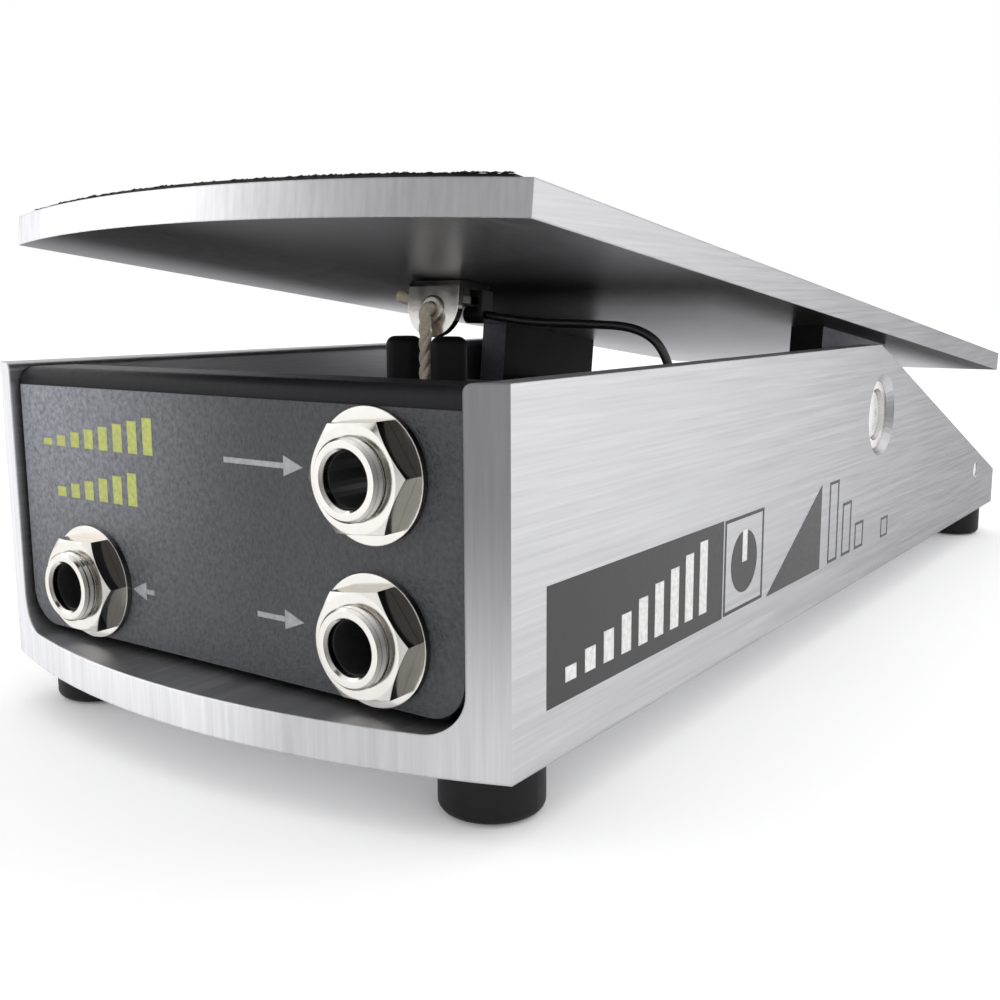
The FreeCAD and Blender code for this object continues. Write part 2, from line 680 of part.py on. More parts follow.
def make_chassis():
    """The aluminium channel with its arc front, sloped heel, pivot holes and floor holes."""
    body = new_body("chassis")
    section = [
        (-HALF_WIDTH, FLOOR),
        (HALF_WIDTH, FLOOR),
        (HALF_WIDTH, WALL_TOP),
        (INNER, WALL_TOP),
        (INNER, FLOOR_TOP),
        (-INNER, FLOOR_TOP),
        (-INNER, WALL_TOP),
        (-HALF_WIDTH, WALL_TOP),
    ]
    pad(body, outline(new_sketch(body, "channel_section", "XZ"), section), D.channel_length)
    fillet(body, D.inner_fillet, lambda edge: lies_along_y(edge, INNER, FLOOR_TOP))
    fillet(body, D.lip_radius, lambda edge: lies_along_y(edge, INNER, WALL_TOP))
    heel = FLOOR + D.heel_height
    slope = [
        (D.slope_start, WALL_TOP),
        (HALF_LENGTH, heel),
        (HALF_LENGTH + 2, heel),
        (HALF_LENGTH + 2, WALL_TOP + 2),
        (D.slope_start, WALL_TOP + 2),
    ]
    pocket(body, outline(new_sketch(body, "heel_slope", "YZ"), slope))
    front_cut(body, "channel_front", HALF_WIDTH, FRONT_CORNER, D.front_arc)
    bores = [
        (D.pivot_place, D.pivot_height, D.bushing_diameter + D.snug),
        (D.post_place, D.post_height, D.post_diameter + D.snug),
    ]
    pocket(body, circles(new_sketch(body, "side_bores", "YZ"), bores))
    holes = [(x, y, D.screw_hole) for x, y in FOOT_PLACES]
    holes += [(x, y, D.screw_hole) for x, y in PANEL_SCREWS + BRACKET_SCREWS]
    holes += [(D.lug_side, D.lug_place, D.screw_hole)]
    pocket(body, circles(new_sketch(body, "floor_holes", "XY"), holes))
    bore_radius = (D.bushing_diameter + D.snug) / 2
    chamfer(
        body,
        (D.countersink - D.bushing_diameter - D.snug) / 2,
        lambda edge: is_circle(edge, bore_radius)
        and abs(abs(edge.Curve.Center.x) - float(HALF_WIDTH)) < 1e-3,
    )
    return body


def make_feet():
    """Four rubber feet with rounded lower edges, each recessed for its screw."""
    feet = []
    screws = []
    for i, (x, y) in enumerate(FOOT_PLACES):
        block = rod(f"foot_block_{i}", D.foot_diameter, D.foot_height, (x, y, 0))
        rounded = round_edges(
            f"foot_round_{i}", block, float(D.foot_edge), lambda edge: edge.BoundBox.ZMax < 1e-3
        )
        recess_size = D.screw_head + D.foot_recess_room
        recess = rod(f"foot_recess_{i}", recess_size, D.foot_recess, (x, y, 0))
        hole = rod(f"foot_hole_{i}", D.screw_hole, D.foot_height, (x, y, 0))
        feet.append(cut(f"foot_{i}", rounded, recess, hole))
        head_base = D.foot_recess - D.screw_head_height
        head = rod(f"foot_screw_head_{i}", D.screw_head, D.screw_head_height, (x, y, head_base))
        shank_length = FLOOR_TOP - D.foot_recess - D.foot_screw_end
        shank = rod(f"foot_screw_shank_{i}", D.screw_shank, shank_length, (x, y, D.foot_recess))
        screws.append(fuse(f"foot_screw_{i}", head, shank))
    node(group("feet_group", feet), "feet")
    node(group("foot_screws_group", screws), "foot_screws")


def make_bushings():
    """The sleeves in the side walls that the axle turns in."""
    sleeves = []
    length = D.channel_wall - (D.countersink - D.bushing_diameter) / 2
    for side, start in (("left", -INNER - length), ("right", INNER)):
        at = (start, D.pivot_place, D.pivot_height)
        outer = rod(f"bushing_outer_{side}", D.bushing_diameter, length, at, "X")
        bore = rod(f"bushing_bore_{side}", D.bushing_bore, length, at, "X")
        sleeves.append(cut(f"bushing_{side}", outer, bore))
    node(group("bushings_group", sleeves), "pivot_bushings")


def make_spring_post():
    """The cross pin that the spring hooks on, its ends just inside the walls' outer faces."""
    reach = HALF_WIDTH - D.post_setback
    pin = rod("post_pin", D.post_diameter, reach * 2, (-reach, D.post_place, D.post_height), "X")
    node(pin, "spring_post")


# ------------------------------------------------------------- jack panel


def make_panel():
    """The bent steel panel: face, top flange, and a bottom flange screwed to the floor."""
    body = new_body("jack_panel")
    base = FLOOR_TOP + D.snug
    back = D.panel_face + D.panel_sheet
    bend = D.panel_bend
    top = D.panel_top
    face = D.panel_face
    sheet_ = D.panel_sheet
    section = [
        (face, base),
        (face, top),
        (face + D.panel_flange, top),
        (face + D.panel_flange, top - sheet_),
        (back, top - sheet_),
        (back, base + sheet_),
        (face + D.panel_foot, base + sheet_),
        (face + D.panel_foot, base),
    ]
    pad(body, outline(new_sketch(body, "panel_section", "YZ"), section), D.panel_width)
    fillet(body, bend, lambda edge: lies_along_x(edge, face, (base, top)))
    inner_heights = (base + sheet_, top - sheet_)
    fillet(body, bend - sheet_, lambda edge: lies_along_x(edge, back, inner_heights))
    half = D.panel_width / 2
    corner = D.panel_corner
    for side, name in ((1, "right"), (-1, "left")):
        edge = half * side
        corner_cut = [
            (edge, base + corner),
            (edge - corner * side, base),
            (edge - corner * side, base - 1),
            (edge + side, base - 1),
            (edge + side, base + corner),
        ]
        pocket(body, outline(new_sketch(body, f"panel_corner_{name}", "XZ"), corner_cut))
    holes = [(x, z, D.jack_thread + D.jack_hole_room) for _, x, z, _ in JACKS]
    pocket(body, circles(new_sketch(body, "panel_holes", "XZ"), holes))
    screw_holes = circles(
        new_sketch(body, "panel_foot_holes", "XY"), [(x, y, D.screw_hole) for x, y in PANEL_SCREWS]
    )
    pocket(body, screw_holes, top=base + sheet_ + 1, depth=sheet_ + 2)
    return body


def make_overlay():
    """The textured overlay on the panel's flat face, with rounded lower corners."""
    body = new_body("panel_overlay")
    half = D.panel_width / 2 - D.overlay_inset
    low = FLOOR_TOP + D.overlay_lift
    high = D.panel_top - D.panel_bend
    face = [(-half, low), (half, low), (half, high), (-half, high)]
    pad(body, outline(new_sketch(body, "overlay_face", "XZ"), face), D.overlay_thickness, "One side")
    fillet(body, D.inner_fillet, lambda edge: lies_along_y(edge, half, low))
    place(body, 0, D.panel_face, 0)
    holes = [(x, z, D.jack_thread + D.jack_hole_room) for _, x, z, _ in JACKS]
    pocket(body, circles(new_sketch(body, "overlay_holes", "XZ"), holes))
    return body


def jack_profile():
    """Half section of a jack's bushing and flange: threaded outside, chamfered at its mouth."""
    bore = D.jack_bore / 2
    crest = D.jack_thread / 2
    root = crest - D.thread_depth
    mouth = -D.overlay_thickness - D.jack_reach
    lip = D.jack_mouth
    flange = D.panel_sheet + D.jack_flange
    corners = [(bore, flange), (bore, mouth + lip), (bore + lip, mouth), (root, mouth)]
    turns = int((float(D.panel_sheet) - float(mouth)) / float(D.thread_pitch))
    for turn in range(turns):
        here = mouth + D.thread_pitch * (turn + 0.5)
        corners += [(crest, here), (root, here + D.thread_pitch / 2)]
    corners += [(root, D.panel_sheet), (D.jack_flange_radius, D.panel_sheet)]
    corners += [(D.jack_flange_radius, flange)]
    return corners


def make_jack(name, x, z):
    """One jack: a threaded bushing and flange, and the frame arm behind it."""
    body = new_body(f"jack_{name}")
    sketch = outline(new_sketch(body, f"jack_{name}_section", "XY"), jack_profile())
    revolve(body, sketch, "V_Axis")
    arm = new_sketch(body, f"jack_{name}_arm", "YZ")
    flange = D.panel_sheet + D.jack_flange
    low = -D.jack_arm_drop
    outline(
        arm,
        [
            (D.panel_sheet, low),
            (D.jack_arm_reach, low),
            (D.jack_arm_reach, low + D.jack_flange),
            (flange, low + D.jack_flange),
            (flange, -D.jack_bore / 2 - 1),
            (D.panel_sheet, -D.jack_bore / 2 - 1),
        ],
    )
    pad(body, arm, D.jack_arm_width)
    return place(body, x, D.panel_face, z)


def make_jack_fittings():
    """Washers, nuts, insulating wafers and tip springs, one of each for every jack."""
    washers, nuts, wafers, springs = [], [], [], []
    washer_front = OVERLAY_FACE - D.jack_washer_thickness
    nut_front = washer_front - D.jack_nut_thickness
    hole = D.jack_thread + D.nut_room
    corner = D.jack_nut_flats / math.sqrt(3)
    shoulder = D.jack_nut_flats + D.jack_nut_thickness * (2 * math.sqrt(3))
    for name, x, z, turn in JACKS:
        disc = rod(
            f"washer_disc_{name}",
            D.jack_washer_diameter,
            D.jack_washer_thickness,
            (x, washer_front, z),
            "Y",
        )
        washer_hole = rod(
            f"washer_hole_{name}", hole, D.jack_washer_thickness, (x, washer_front, z), "Y"
        )
        washers.append(cut(f"washer_{name}", disc, washer_hole))
        prism = doc.addObject("Part::Prism", f"nut_prism_{name}")
        prism.Polygon = 6
        bind(prism, Circumradius=corner, Height=D.jack_nut_thickness)
        upright = FreeCAD.Rotation(Y_AXIS, turn) * TURNS["Y"]
        place(prism, x, nut_front, z, rotation=upright)
        crown = cone(
            f"nut_crown_{name}",
            D.jack_nut_flats,
            shoulder,
            D.jack_nut_thickness,
            (x, nut_front, z),
            "Y",
        )
        thread = rod(f"nut_thread_{name}", hole, D.jack_nut_thickness, (x, nut_front, z), "Y")
        nuts.append(cut(f"nut_{name}", common(f"nut_shape_{name}", prism, crown), thread))
        arm_top = z - D.jack_arm_drop + D.jack_flange
        rear = D.panel_face + D.jack_arm_reach
        half = D.jack_arm_width / 2
        wafers.append(
            box(
                f"wafer_{name}",
                (x - half, x + half),
                (rear - D.wafer_length, rear),
                (arm_top, arm_top + D.wafer_height),
            )
        )
        springs.append(make_tip_spring(name, x, rear, arm_top + D.wafer_height))
    node(group("jack_washers_group", washers), "jack_washers")
    node(group("jack_nuts_group", nuts), "jack_nuts")
    node(group("jack_wafers_group", wafers), "jack_insulators")
    node(group("jack_springs_group", springs), "jack_contacts")


def make_tip_spring(name, x, rear, height):
    """A jack's tip spring: a strip on the wafer that reaches back and bends up to the plug."""
    strip = D.contact_sheet
    half = D.contact_width / 2
    flat = box(
        f"contact_flat_{name}",
        (x - half, x + half),
        (rear - D.wafer_length, rear + D.contact_reach),
        (height, height + strip),
    )
    tip = box(
        f"contact_tip_{name}",
        (x - half, x + half),
        (rear + D.contact_reach - strip, rear + D.contact_reach),
        (height, height + D.contact_rise),
    )
    return fuse(f"contact_{name}", flat, tip)


# ------------------------------------------------- control and its bracket


def make_pot_bracket():
    """The C-shaped steel bracket: floor flange, upright plate and top flange with a cord slot."""
    body = new_body("pot_bracket")
    base = FLOOR_TOP + D.snug
    steel = D.bracket_sheet
    plate = D.bracket_plate
    foot_end = -D.bracket_foot
    top_end = -D.bracket_shelf
    section = [
        (foot_end, base),
        (plate + steel, base),
        (plate + steel, D.shelf_height),
        (top_end, D.shelf_height),
        (top_end, D.shelf_height - steel),
        (plate, D.shelf_height - steel),
        (plate, base + steel),
        (foot_end, base + steel),
    ]
    sketch = outline(new_sketch(body, "bracket_section", "XZ"), section)
    pad(body, sketch, D.bracket_length)
    place(body, 0, BRACKET_MIDDLE, 0)
    bushing_hole = D.pot_thread + D.nut_room
    round_hole = [(SHAFT_PLACE - BRACKET_MIDDLE, D.pot_height, bushing_hole)]
    pocket(body, circles(new_sketch(body, "bracket_bore", "YZ"), round_hole))
    slot_end = D.cord_place - BRACKET_MIDDLE + D.slot_width / 2
    slot_start = -D.bracket_length / 2 - 1
    half = D.slot_width / 2
    slot = [(-half, slot_start), (half, slot_start), (half, slot_end), (-half, slot_end)]
    slot_sketch = outline(new_sketch(body, "cord_slot", "XY"), slot)
    pocket(body, slot_sketch, top=D.shelf_height + 1, depth=steel + 2)
    end_sketch = circles(new_sketch(body, "cord_slot_end", "XY"), [(0, slot_end, D.slot_width)])
    pocket(body, end_sketch, top=D.shelf_height + 1, depth=steel + 2)
    holes = [(x, y - BRACKET_MIDDLE, D.screw_hole) for x, y in BRACKET_SCREWS]
    hole_sketch = circles(new_sketch(body, "bracket_foot_holes", "XY"), holes)
    pocket(body, hole_sketch, top=base + steel + 1, depth=steel + 2)
    return body


def make_pot():
    """The potentiometer: can and bushing, shaft and rotor, lugs, and its washer and nut."""
    plate_far = D.bracket_plate + D.bracket_sheet
    y, z = SHAFT_PLACE, D.pot_height
    can = rod("pot_can", D.pot_diameter, D.pot_depth, (plate_far, y, z), "X")
    bushing_start = D.bracket_plate - D.pot_bushing
    bushing_length = D.pot_bushing + D.bracket_sheet
    bushing = rod("pot_bushing", D.pot_thread, bushing_length, (bushing_start, y, z), "X")
    solid = fuse("pot_solid", can, bushing)
    cavity_start = plate_far + D.pot_wall
    cavity_length = D.pot_depth - D.pot_wall * 2
    cavity_size = D.pot_diameter - D.pot_wall * 2
    cavity = rod("pot_cavity", cavity_size, cavity_length, (cavity_start, y, z), "X")
    bore_length = bushing_length + D.pot_wall
    bore_size = D.shaft_diameter + D.running_room * 2
    bore = rod("pot_bore", bore_size, bore_length, (bushing_start, y, z), "X")
    node(cut("pot_housing_solid", solid, cavity, bore), "pot_housing")

    shaft_start = -WRAP_SPAN - D.shaft_spare
    rotor_start = cavity_start + D.pot_wall
    shaft = rod(
        "shaft_rod", D.shaft_diameter, rotor_start - shaft_start + 1, (shaft_start, y, z), "X"
    )
    rotor = rod(
        "shaft_rotor", cavity_size - D.pot_wall * 4, D.rotor_thickness, (rotor_start, y, z), "X"
    )
    slot = box(
        "shaft_slot",
        (shaft_start, shaft_start + D.shaft_slot_depth),
        (y - D.shaft_slot_width / 2, y + D.shaft_slot_width / 2),
        (z - D.shaft_diameter, z + D.shaft_diameter),
    )
    node(cut("pot_shaft_solid", fuse("pot_shaft_blank", shaft, rotor), slot), "pot_shaft")

    washer_start = D.bracket_plate - D.pot_washer_thickness
    hole = D.pot_thread + D.nut_room
    washer = cut(
        "pot_washer_solid",
        rod("pot_washer_disc", D.pot_washer_size, D.pot_washer_thickness, (washer_start, y, z), "X"),
        rod("pot_washer_hole", hole, D.pot_washer_thickness, (washer_start, y, z), "X"),
    )
    node(washer, "pot_washer")
    nut_start = washer_start - D.pot_nut_thickness
    prism = doc.addObject("Part::Prism", "pot_nut_prism")
    prism.Polygon = 6
    bind(prism, Circumradius=D.jack_nut_flats / math.sqrt(3), Height=D.pot_nut_thickness)
    place(prism, nut_start, y, z, rotation=TURNS["X"])
    thread = rod("pot_nut_thread", hole, D.pot_nut_thickness, (nut_start, y, z), "X")
    node(cut("pot_nut_solid", prism, thread), "pot_nut")

    lugs = []
    lug_x = (plate_far + D.pot_depth / 2, plate_far + D.pot_depth / 2 + D.terminal_sheet)
    lug_base = z + D.pot_diameter / 2 + D.snug
    for i in (-1, 0, 1):
        middle = y + D.pot_lug_pitch * i
        across = (middle - D.pot_lug_width / 2, middle + D.pot_lug_width / 2)
        lugs.append(box(f"pot_lug_{i + 1}", lug_x, across, (lug_base, lug_base + D.pot_lug_height)))
    node(group("pot_lugs_group", lugs), "pot_terminals")


def make_bracket_screws():
    """Screws that hold the potentiometer bracket, the jack panel and the ground lug down."""
    steel_top = FLOOR_TOP + D.snug + D.bracket_sheet
    places = {
        "pot_bracket_screws": [(x, y, steel_top) for x, y in BRACKET_SCREWS],
        "panel_screws": [(x, y, FLOOR_TOP + D.snug + D.panel_sheet) for x, y in PANEL_SCREWS],
        "ground_screw": [(D.lug_side, D.lug_place, FLOOR_TOP + D.snug + D.terminal_sheet)],
    }
    for name, screws in places.items():
        made = []
        for i, (x, y, seat) in enumerate(screws):
            start = FLOOR + D.screw_end
            head = rod(f"{name}_head_{i}", D.small_head, D.small_head_height, (x, y, seat))
            rounded = round_edges(
                f"{name}_round_{i}",
                head,
                float(D.small_head_round),
                lambda edge, top=float(seat + D.small_head_height): edge.BoundBox.ZMin > top - 1e-3,
            )
            shank = rod(f"{name}_shank_{i}", D.screw_shank, seat - start, (x, y, start))
            made.append(fuse(f"{name}_{i}", rounded, shank))
        node(group(f"{name}_group", made), name)


def make_ground_lug():
    """The ring terminal on the floor that the ground wire ends in."""
    base = FLOOR_TOP + D.snug
    ring = rod("lug_ring", D.lug_size, D.terminal_sheet, (D.lug_side, D.lug_place, base))
    tongue = box(
        "lug_tongue",
        (D.lug_side - D.wire_diameter / 2, D.lug_side + D.wire_diameter / 2),
        (D.lug_place - D.lug_size, D.lug_place),
        (base, base + D.terminal_sheet),
    )
    barrel_start = D.lug_place - D.lug_size - D.barrel_length
    barrel_height = base + D.barrel_diameter / 2
    barrel = rod(
        "lug_barrel",
        D.barrel_diameter,
        D.barrel_length,
        (D.lug_side, barrel_start, barrel_height),
        "Y",
    )
    hole = rod("lug_hole", D.screw_hole, D.terminal_sheet, (D.lug_side, D.lug_place, base))
    node(cut("ground_lug_solid", fuse("lug_blank", ring, tongue, barrel), hole), "ground_lug")


def make_bumpers():
    """Two rubber bumpers on the bracket's shelf, their tops rounded."""
    bumpers = []
    for side, name in ((-1, "left"), (1, "right")):
        height = D.bumper_top - D.shelf_height
        at = (D.bumper_spread * side, D.bumper_place, D.shelf_height)
        post = rod(f"bumper_post_{name}", D.bumper_diameter, height, at)
        top = float(D.bumper_top)
        bumpers.append(
            round_edges(
                f"bumper_{name}",
                post,
                float(D.bumper_round),
                lambda edge: edge.BoundBox.ZMin > top - 1e-3,
            )
        )
    node(group("bumpers_group", bumpers), "toe_bumpers")


# ---------------------------------------------------------------- treadle


def make_treadle_plate():
    """The treadle: a flat plate with an arc front, counterbored for the ear screws."""
    body = new_body("treadle_plate")
    half = D.tread_width / 2
    front = -D.tread_toe - D.tread_arc - 1
    sheet_ = [(-half, front), (half, front), (half, D.tread_heel), (-half, D.tread_heel)]
    sketch = outline(new_sketch(body, "tread_outline", "XY"), sheet_)
    pad(body, sketch, D.tread_thickness, side="One side")
    front_cut(body, "tread_front", half, -D.tread_toe, D.tread_arc)
    screws = [(x, y, D.ear_screw, D.ear_screw_head) for x, y in EAR_SCREWS]
    screws.append((*TAB_SCREW, D.tab_screw, D.tab_screw_head))
    holes = [(x, y, shank + D.nut_room) for x, y, shank, _ in screws]
    pocket(body, circles(new_sketch(body, "tread_screw_holes", "XY"), holes))
    seats = [(x, y, head + D.nut_room * 2) for x, y, _, head in screws]
    seat_sketch = circles(new_sketch(body, "tread_screw_seats", "XY"), seats)
    depth = D.ear_screw_head_height + 1
    pocket(body, seat_sketch, top=D.tread_thickness + 1, depth=depth)
    return on_plate(body, 0)


def on_plate(thing, above):
    """Place a piece made on the plate's underside plane, some way above it, bound to the sheet."""
    lift = D.tread_under + above
    tilt = math.radians(float(D.rest_tilt))
    y = D.pivot_place + lift * math.sin(tilt)
    z = D.pivot_height + lift * math.cos(tilt)
    return place(thing, 0, y, z, rotation=FreeCAD.Rotation(X_AXIS, -float(D.rest_tilt)))


def make_grip():
    """The grit sheet on the plate, with the plate's own front arc."""
    body = new_body("tread_grip")
    half = D.tread_width / 2 - D.grip_side
    corner = -D.tread_toe + D.grip_corner
    front = corner - D.tread_arc - 1
    rear = D.tread_heel - D.grip_rear
    sketch = outline(
        new_sketch(body, "grip_outline", "XY"),
        [(-half, front), (half, front), (half, rear), (-half, rear)],
    )
    pad(body, sketch, D.grip_thickness, side="One side")
    bulge = D.tread_arc - D.grip_front + D.grip_corner
    front_cut(body, "grip_front_arc", half, corner, bulge)
    return on_plate(body, D.tread_thickness)


def make_ears():
    """The two ears under the plate: bored for the axle, tapped for their screws and set screws."""
    for side, name in ((-1, "left"), (1, "right")):
        low_x = D.ear_outer * side - D.ear_shift - (D.ear_thickness if side > 0 else as_size(0))
        high_x = low_x + D.ear_thickness
        middle = low_x + D.ear_thickness / 2
        block = box(
            f"ear_block_{name}",
            (low_x, high_x),
            (D.ear_front, D.ear_rear),
            (-D.ear_drop, D.tread_under - D.snug),
        )
        bore = rod(f"ear_bore_{name}", D.axle_diameter + D.snug, D.ear_thickness, (low_x, 0, 0), "X")
        tools = [bore]
        for i, y in enumerate((D.ear_screw_front, D.ear_screw_rear)):
            depth = D.ear_screw_depth + 1
            at = (middle, y, D.tread_under - depth)
            tools.append(rod(f"ear_tap_{name}_{i}", D.ear_screw + D.nut_room, depth, at))
        at = (middle, 0, -D.ear_drop)
        tools.append(rod(f"ear_set_{name}", D.set_screw + D.nut_room, D.ear_drop, at))
        ear = cut(f"ear_{name}", block, *tools)
        node(on_treadle(ear), f"pivot_ear_{name}")


def make_axle():
    """The axle, the spacers outside the ears, and the set screws that hold it in them."""
    reach = HALF_WIDTH - D.axle_setback
    blank = rod("axle_rod", D.axle_diameter, reach * 2, (-reach, 0, 0), "X")
    ends = round_edges(
        "axle_round",
        blank,
        float(D.axle_end_round),
        lambda edge: is_circle(edge, D.axle_diameter / 2),
    )
    node(on_treadle(ends), "axle")
    spacers = []
    screws = []
    for side, name in ((-1, "left"), (1, "right")):
        length = D.spacer_thickness + D.ear_shift * side
        face = (D.ear_outer + D.snug) * side - D.ear_shift
        at = (face if side > 0 else face - length, 0, 0)
        ring = rod(f"spacer_ring_{name}", D.spacer_diameter, length, at, "X")
        hole = rod(f"spacer_hole_{name}", D.axle_diameter + D.nut_room, length, at, "X")
        spacers.append(cut(f"spacer_{name}", ring, hole))
        middle = EAR_MIDDLE * side - D.ear_shift
        bottom = -D.ear_drop + D.set_screw_inset
        length = D.ear_drop - D.set_screw_inset - D.axle_diameter / 2 - D.snug
        screw = rod(f"set_rod_{name}", D.set_screw, length, (middle, 0, bottom))
        socket = doc.addObject("Part::Prism", f"set_socket_{name}")
        socket.Polygon = 6
        bind(socket, Circumradius=D.set_screw / 4, Height=length / 2)
        place(socket, middle, 0, bottom)
        screws.append(cut(f"set_screw_{name}", screw, socket))
    node(on_treadle(group("spacers_group", spacers)), "axle_spacers")
    node(on_treadle(group("set_screws_group", screws)), "ear_set_screws")


def make_plate_screws():
    """Flat-topped screws down through the plate: four into the ears, one for the bracket."""
    top = D.tread_under + D.tread_thickness
    seat = top - D.ear_screw_head_height
    head_height = D.ear_screw_head_height - D.snug
    kinds = [
        ("ear_screws", EAR_SCREWS, D.ear_screw, D.ear_screw_head, D.ear_screw_depth),
        ("bracket_screw", [TAB_SCREW], D.tab_screw, D.tab_screw_head, D.tab_screw_drop),
    ]
    for name, places, shank, head, drop in kinds:
        made = []
        bottom = D.tread_under - drop
        for i, (x, y) in enumerate(places):
            top_part = rod(f"{name}_head_{i}", head, head_height, (x, y, seat))
            stem = rod(f"{name}_shank_{i}", shank, seat - bottom, (x, y, bottom))
            made.append(fuse(f"{name}_{i}", top_part, stem))
        node(on_treadle(group(f"{name}_group", made)), name)


def make_cord_bracket():
    """The bent nickel bracket: a round-ended tab with a hole, and a flange under the plate."""
    under = D.tread_under - D.snug
    front = D.tab_place - D.tab_sheet / 2
    rear = D.tab_place + D.tab_sheet / 2
    middle = D.tab_side
    sides = (middle - D.tab_width / 2, middle + D.tab_width / 2)
    tip = D.tread_under - D.tab_drop
    centre = tip + D.tab_width / 2
    upright = box("tab_upright", sides, (front, rear), (centre, under))
    round_end = rod("tab_end", D.tab_width, D.tab_sheet, (middle, front, centre), "Y")
    below = box("tab_below", sides, (front, rear), (tip - 1, centre + 1))
    end = common("tab_round_end", round_end, below)
    flange = box(
        "tab_flange", sides, (front, front + D.tab_flange_length), (under - D.tab_sheet, under)
    )
    hole = rod("tab_hole", D.tab_hole, D.tab_sheet, (middle, front, D.tab_hole_height), "Y")
    screw_at = (*TAB_SCREW, under - D.tab_sheet)
    screw_hole = rod("tab_screw_hole", D.tab_screw + D.nut_room, D.tab_sheet, screw_at)
    blank = fuse("tab_blank", upright, end, flange)
    bent = round_edges("tab_bent", blank, float(D.tab_bend), is_tab_bend)
    node(on_treadle(cut("cord_bracket_solid", bent, hole, screw_hole)), "cord_bracket")


def is_tab_bend(edge):
    """Whether an edge is the outer corner of the cord bracket's bend."""
    bounds = edge.BoundBox
    at_top = bounds.ZMin > float(D.tread_under - D.snug) - 1e-3
    at_front = bounds.YMax < float(D.tab_place - D.tab_sheet / 2) + 1e-3
    return at_top and at_front


def make_bracket_eyelet():
    """The metal eyelet in the tab's hole, its front rim rounded."""
    front = D.tab_place - D.tab_sheet / 2
    rear = D.tab_place + D.tab_sheet / 2
    start = front - D.eyelet_lip
    length = D.tab_sheet + D.eyelet_lip * 2
    height = D.tab_hole_height
    barrel = rod("grommet_barrel", D.tab_hole - D.snug, length, (D.tab_side, start, height), "Y")
    rim_length = D.eyelet_lip - D.snug
    front_rim = rod("grommet_front", D.eyelet_rim, rim_length, (D.tab_side, start, height), "Y")
    rounded = round_edges(
        "grommet_round",
        front_rim,
        float(D.eyelet_lip_round),
        lambda edge: edge.BoundBox.YMax < float(start) + 1e-3,
    )
    rear_at = (D.tab_side, rear + D.snug, height)
    rear_rim = rod("grommet_rear", D.eyelet_rim, rim_length, rear_at, "Y")
    bore = rod("grommet_bore", D.eyelet_bore, length, (D.tab_side, start, height), "Y")
    blank = fuse("grommet_blank", barrel, rounded, rear_rim)
    node(on_treadle(cut("grommet_solid", blank, bore)), "bracket_eyelet")


def make_bracket_nut():
    """The nut under the bracket's flange, with the wire's ring terminal clamped above it."""
    x, y = TAB_SCREW
    ring_top = D.tread_under - D.tab_sheet - D.snug * 2
    ring_base = ring_top - D.terminal_sheet
    hole = D.tab_screw + D.nut_room
    half = D.terminal_barrel / 2
    ring = rod("terminal_ring", D.terminal_size, D.terminal_sheet, (x, y, ring_base))
    tongue = box("terminal_tongue", (x, D.terminal_end), (y - half, y + half), (ring_base, ring_top))
    drop = box(
        "terminal_drop",
        (D.terminal_end - D.terminal_sheet, D.terminal_end),
        (y - half, y + half),
        (D.terminal_height, ring_top),
    )
    barrel = rod(
        "terminal_barrel",
        D.terminal_barrel,
        D.terminal_end - D.terminal_start,
        (D.terminal_start, y, D.terminal_height),
        "X",
    )
    eye = rod("terminal_hole", hole, D.terminal_sheet, (x, y, ring_base))
    blank = fuse("terminal_blank", ring, tongue, drop, barrel)
    node(on_treadle(cut("terminal_solid", blank, eye)), "wire_terminal")

    nut_base = ring_base - D.snug - D.tab_nut_thickness
    prism = doc.addObject("Part::Prism", "bracket_nut_prism")
    prism.Polygon = 6
    bind(prism, Circumradius=D.tab_nut_flats / math.sqrt(3), Height=D.tab_nut_thickness)
    place(prism, x, y, nut_base)
    thread = rod("bracket_nut_thread", hole, D.tab_nut_thickness, (x, y, nut_base))
    node(on_treadle(cut("bracket_nut_solid", prism, thread)), "bracket_nut")


# -------------------------------------------------- cord, spring and wire


def make_cord_front():
    """The cord from behind the tab, through the eyelet and down to the shaft's front side."""
    behind = tread_point(D.tab_side, D.knot_place - D.knot_size / 4, D.tab_hole_height)
    axis_slope = math.tan(math.radians(float(D.rest_tilt)))
    out = float(behind.y) - float(D.cord_place)
    corner = (float(D.tab_side), float(D.cord_place), behind.z + out * axis_slope)
    end = (0, float(D.cord_place), float(D.pot_height) + CORD_END_GAP)
    route = [behind, corner, end]
    shape, length, radii = tube(route, float(D.cord_diameter), {1: CORD_BEND})
    print("front cord: length", round(length, 1), "radii", radii)
    print("front cord route", [tuple(round(c, 2) for c in Vector(*p)) for p in route])
    node(feature("cord_front", shape), "cord_front")


def make_cord_knot():
    """The knot behind the eyelet, and the cord's tail that sticks out beside the bracket."""
    at = (D.tab_side, D.knot_place, D.knot_height)
    ball = doc.addObject("Part::Sphere", "knot_ball")
    bind(ball, Radius=D.knot_size / 2)
    place(ball, *at)
    rise = math.radians(float(D.tail_rise))
    along_tail = FreeCAD.Rotation(Z_AXIS, Vector(-math.cos(rise), 0, math.sin(rise)))
    tail = rod("knot_tail", D.tail_diameter, D.tail_length, at)
    place(tail, *at, rotation=along_tail)
    node(on_treadle(fuse("knot_solid", ball, tail)), "cord_knot")


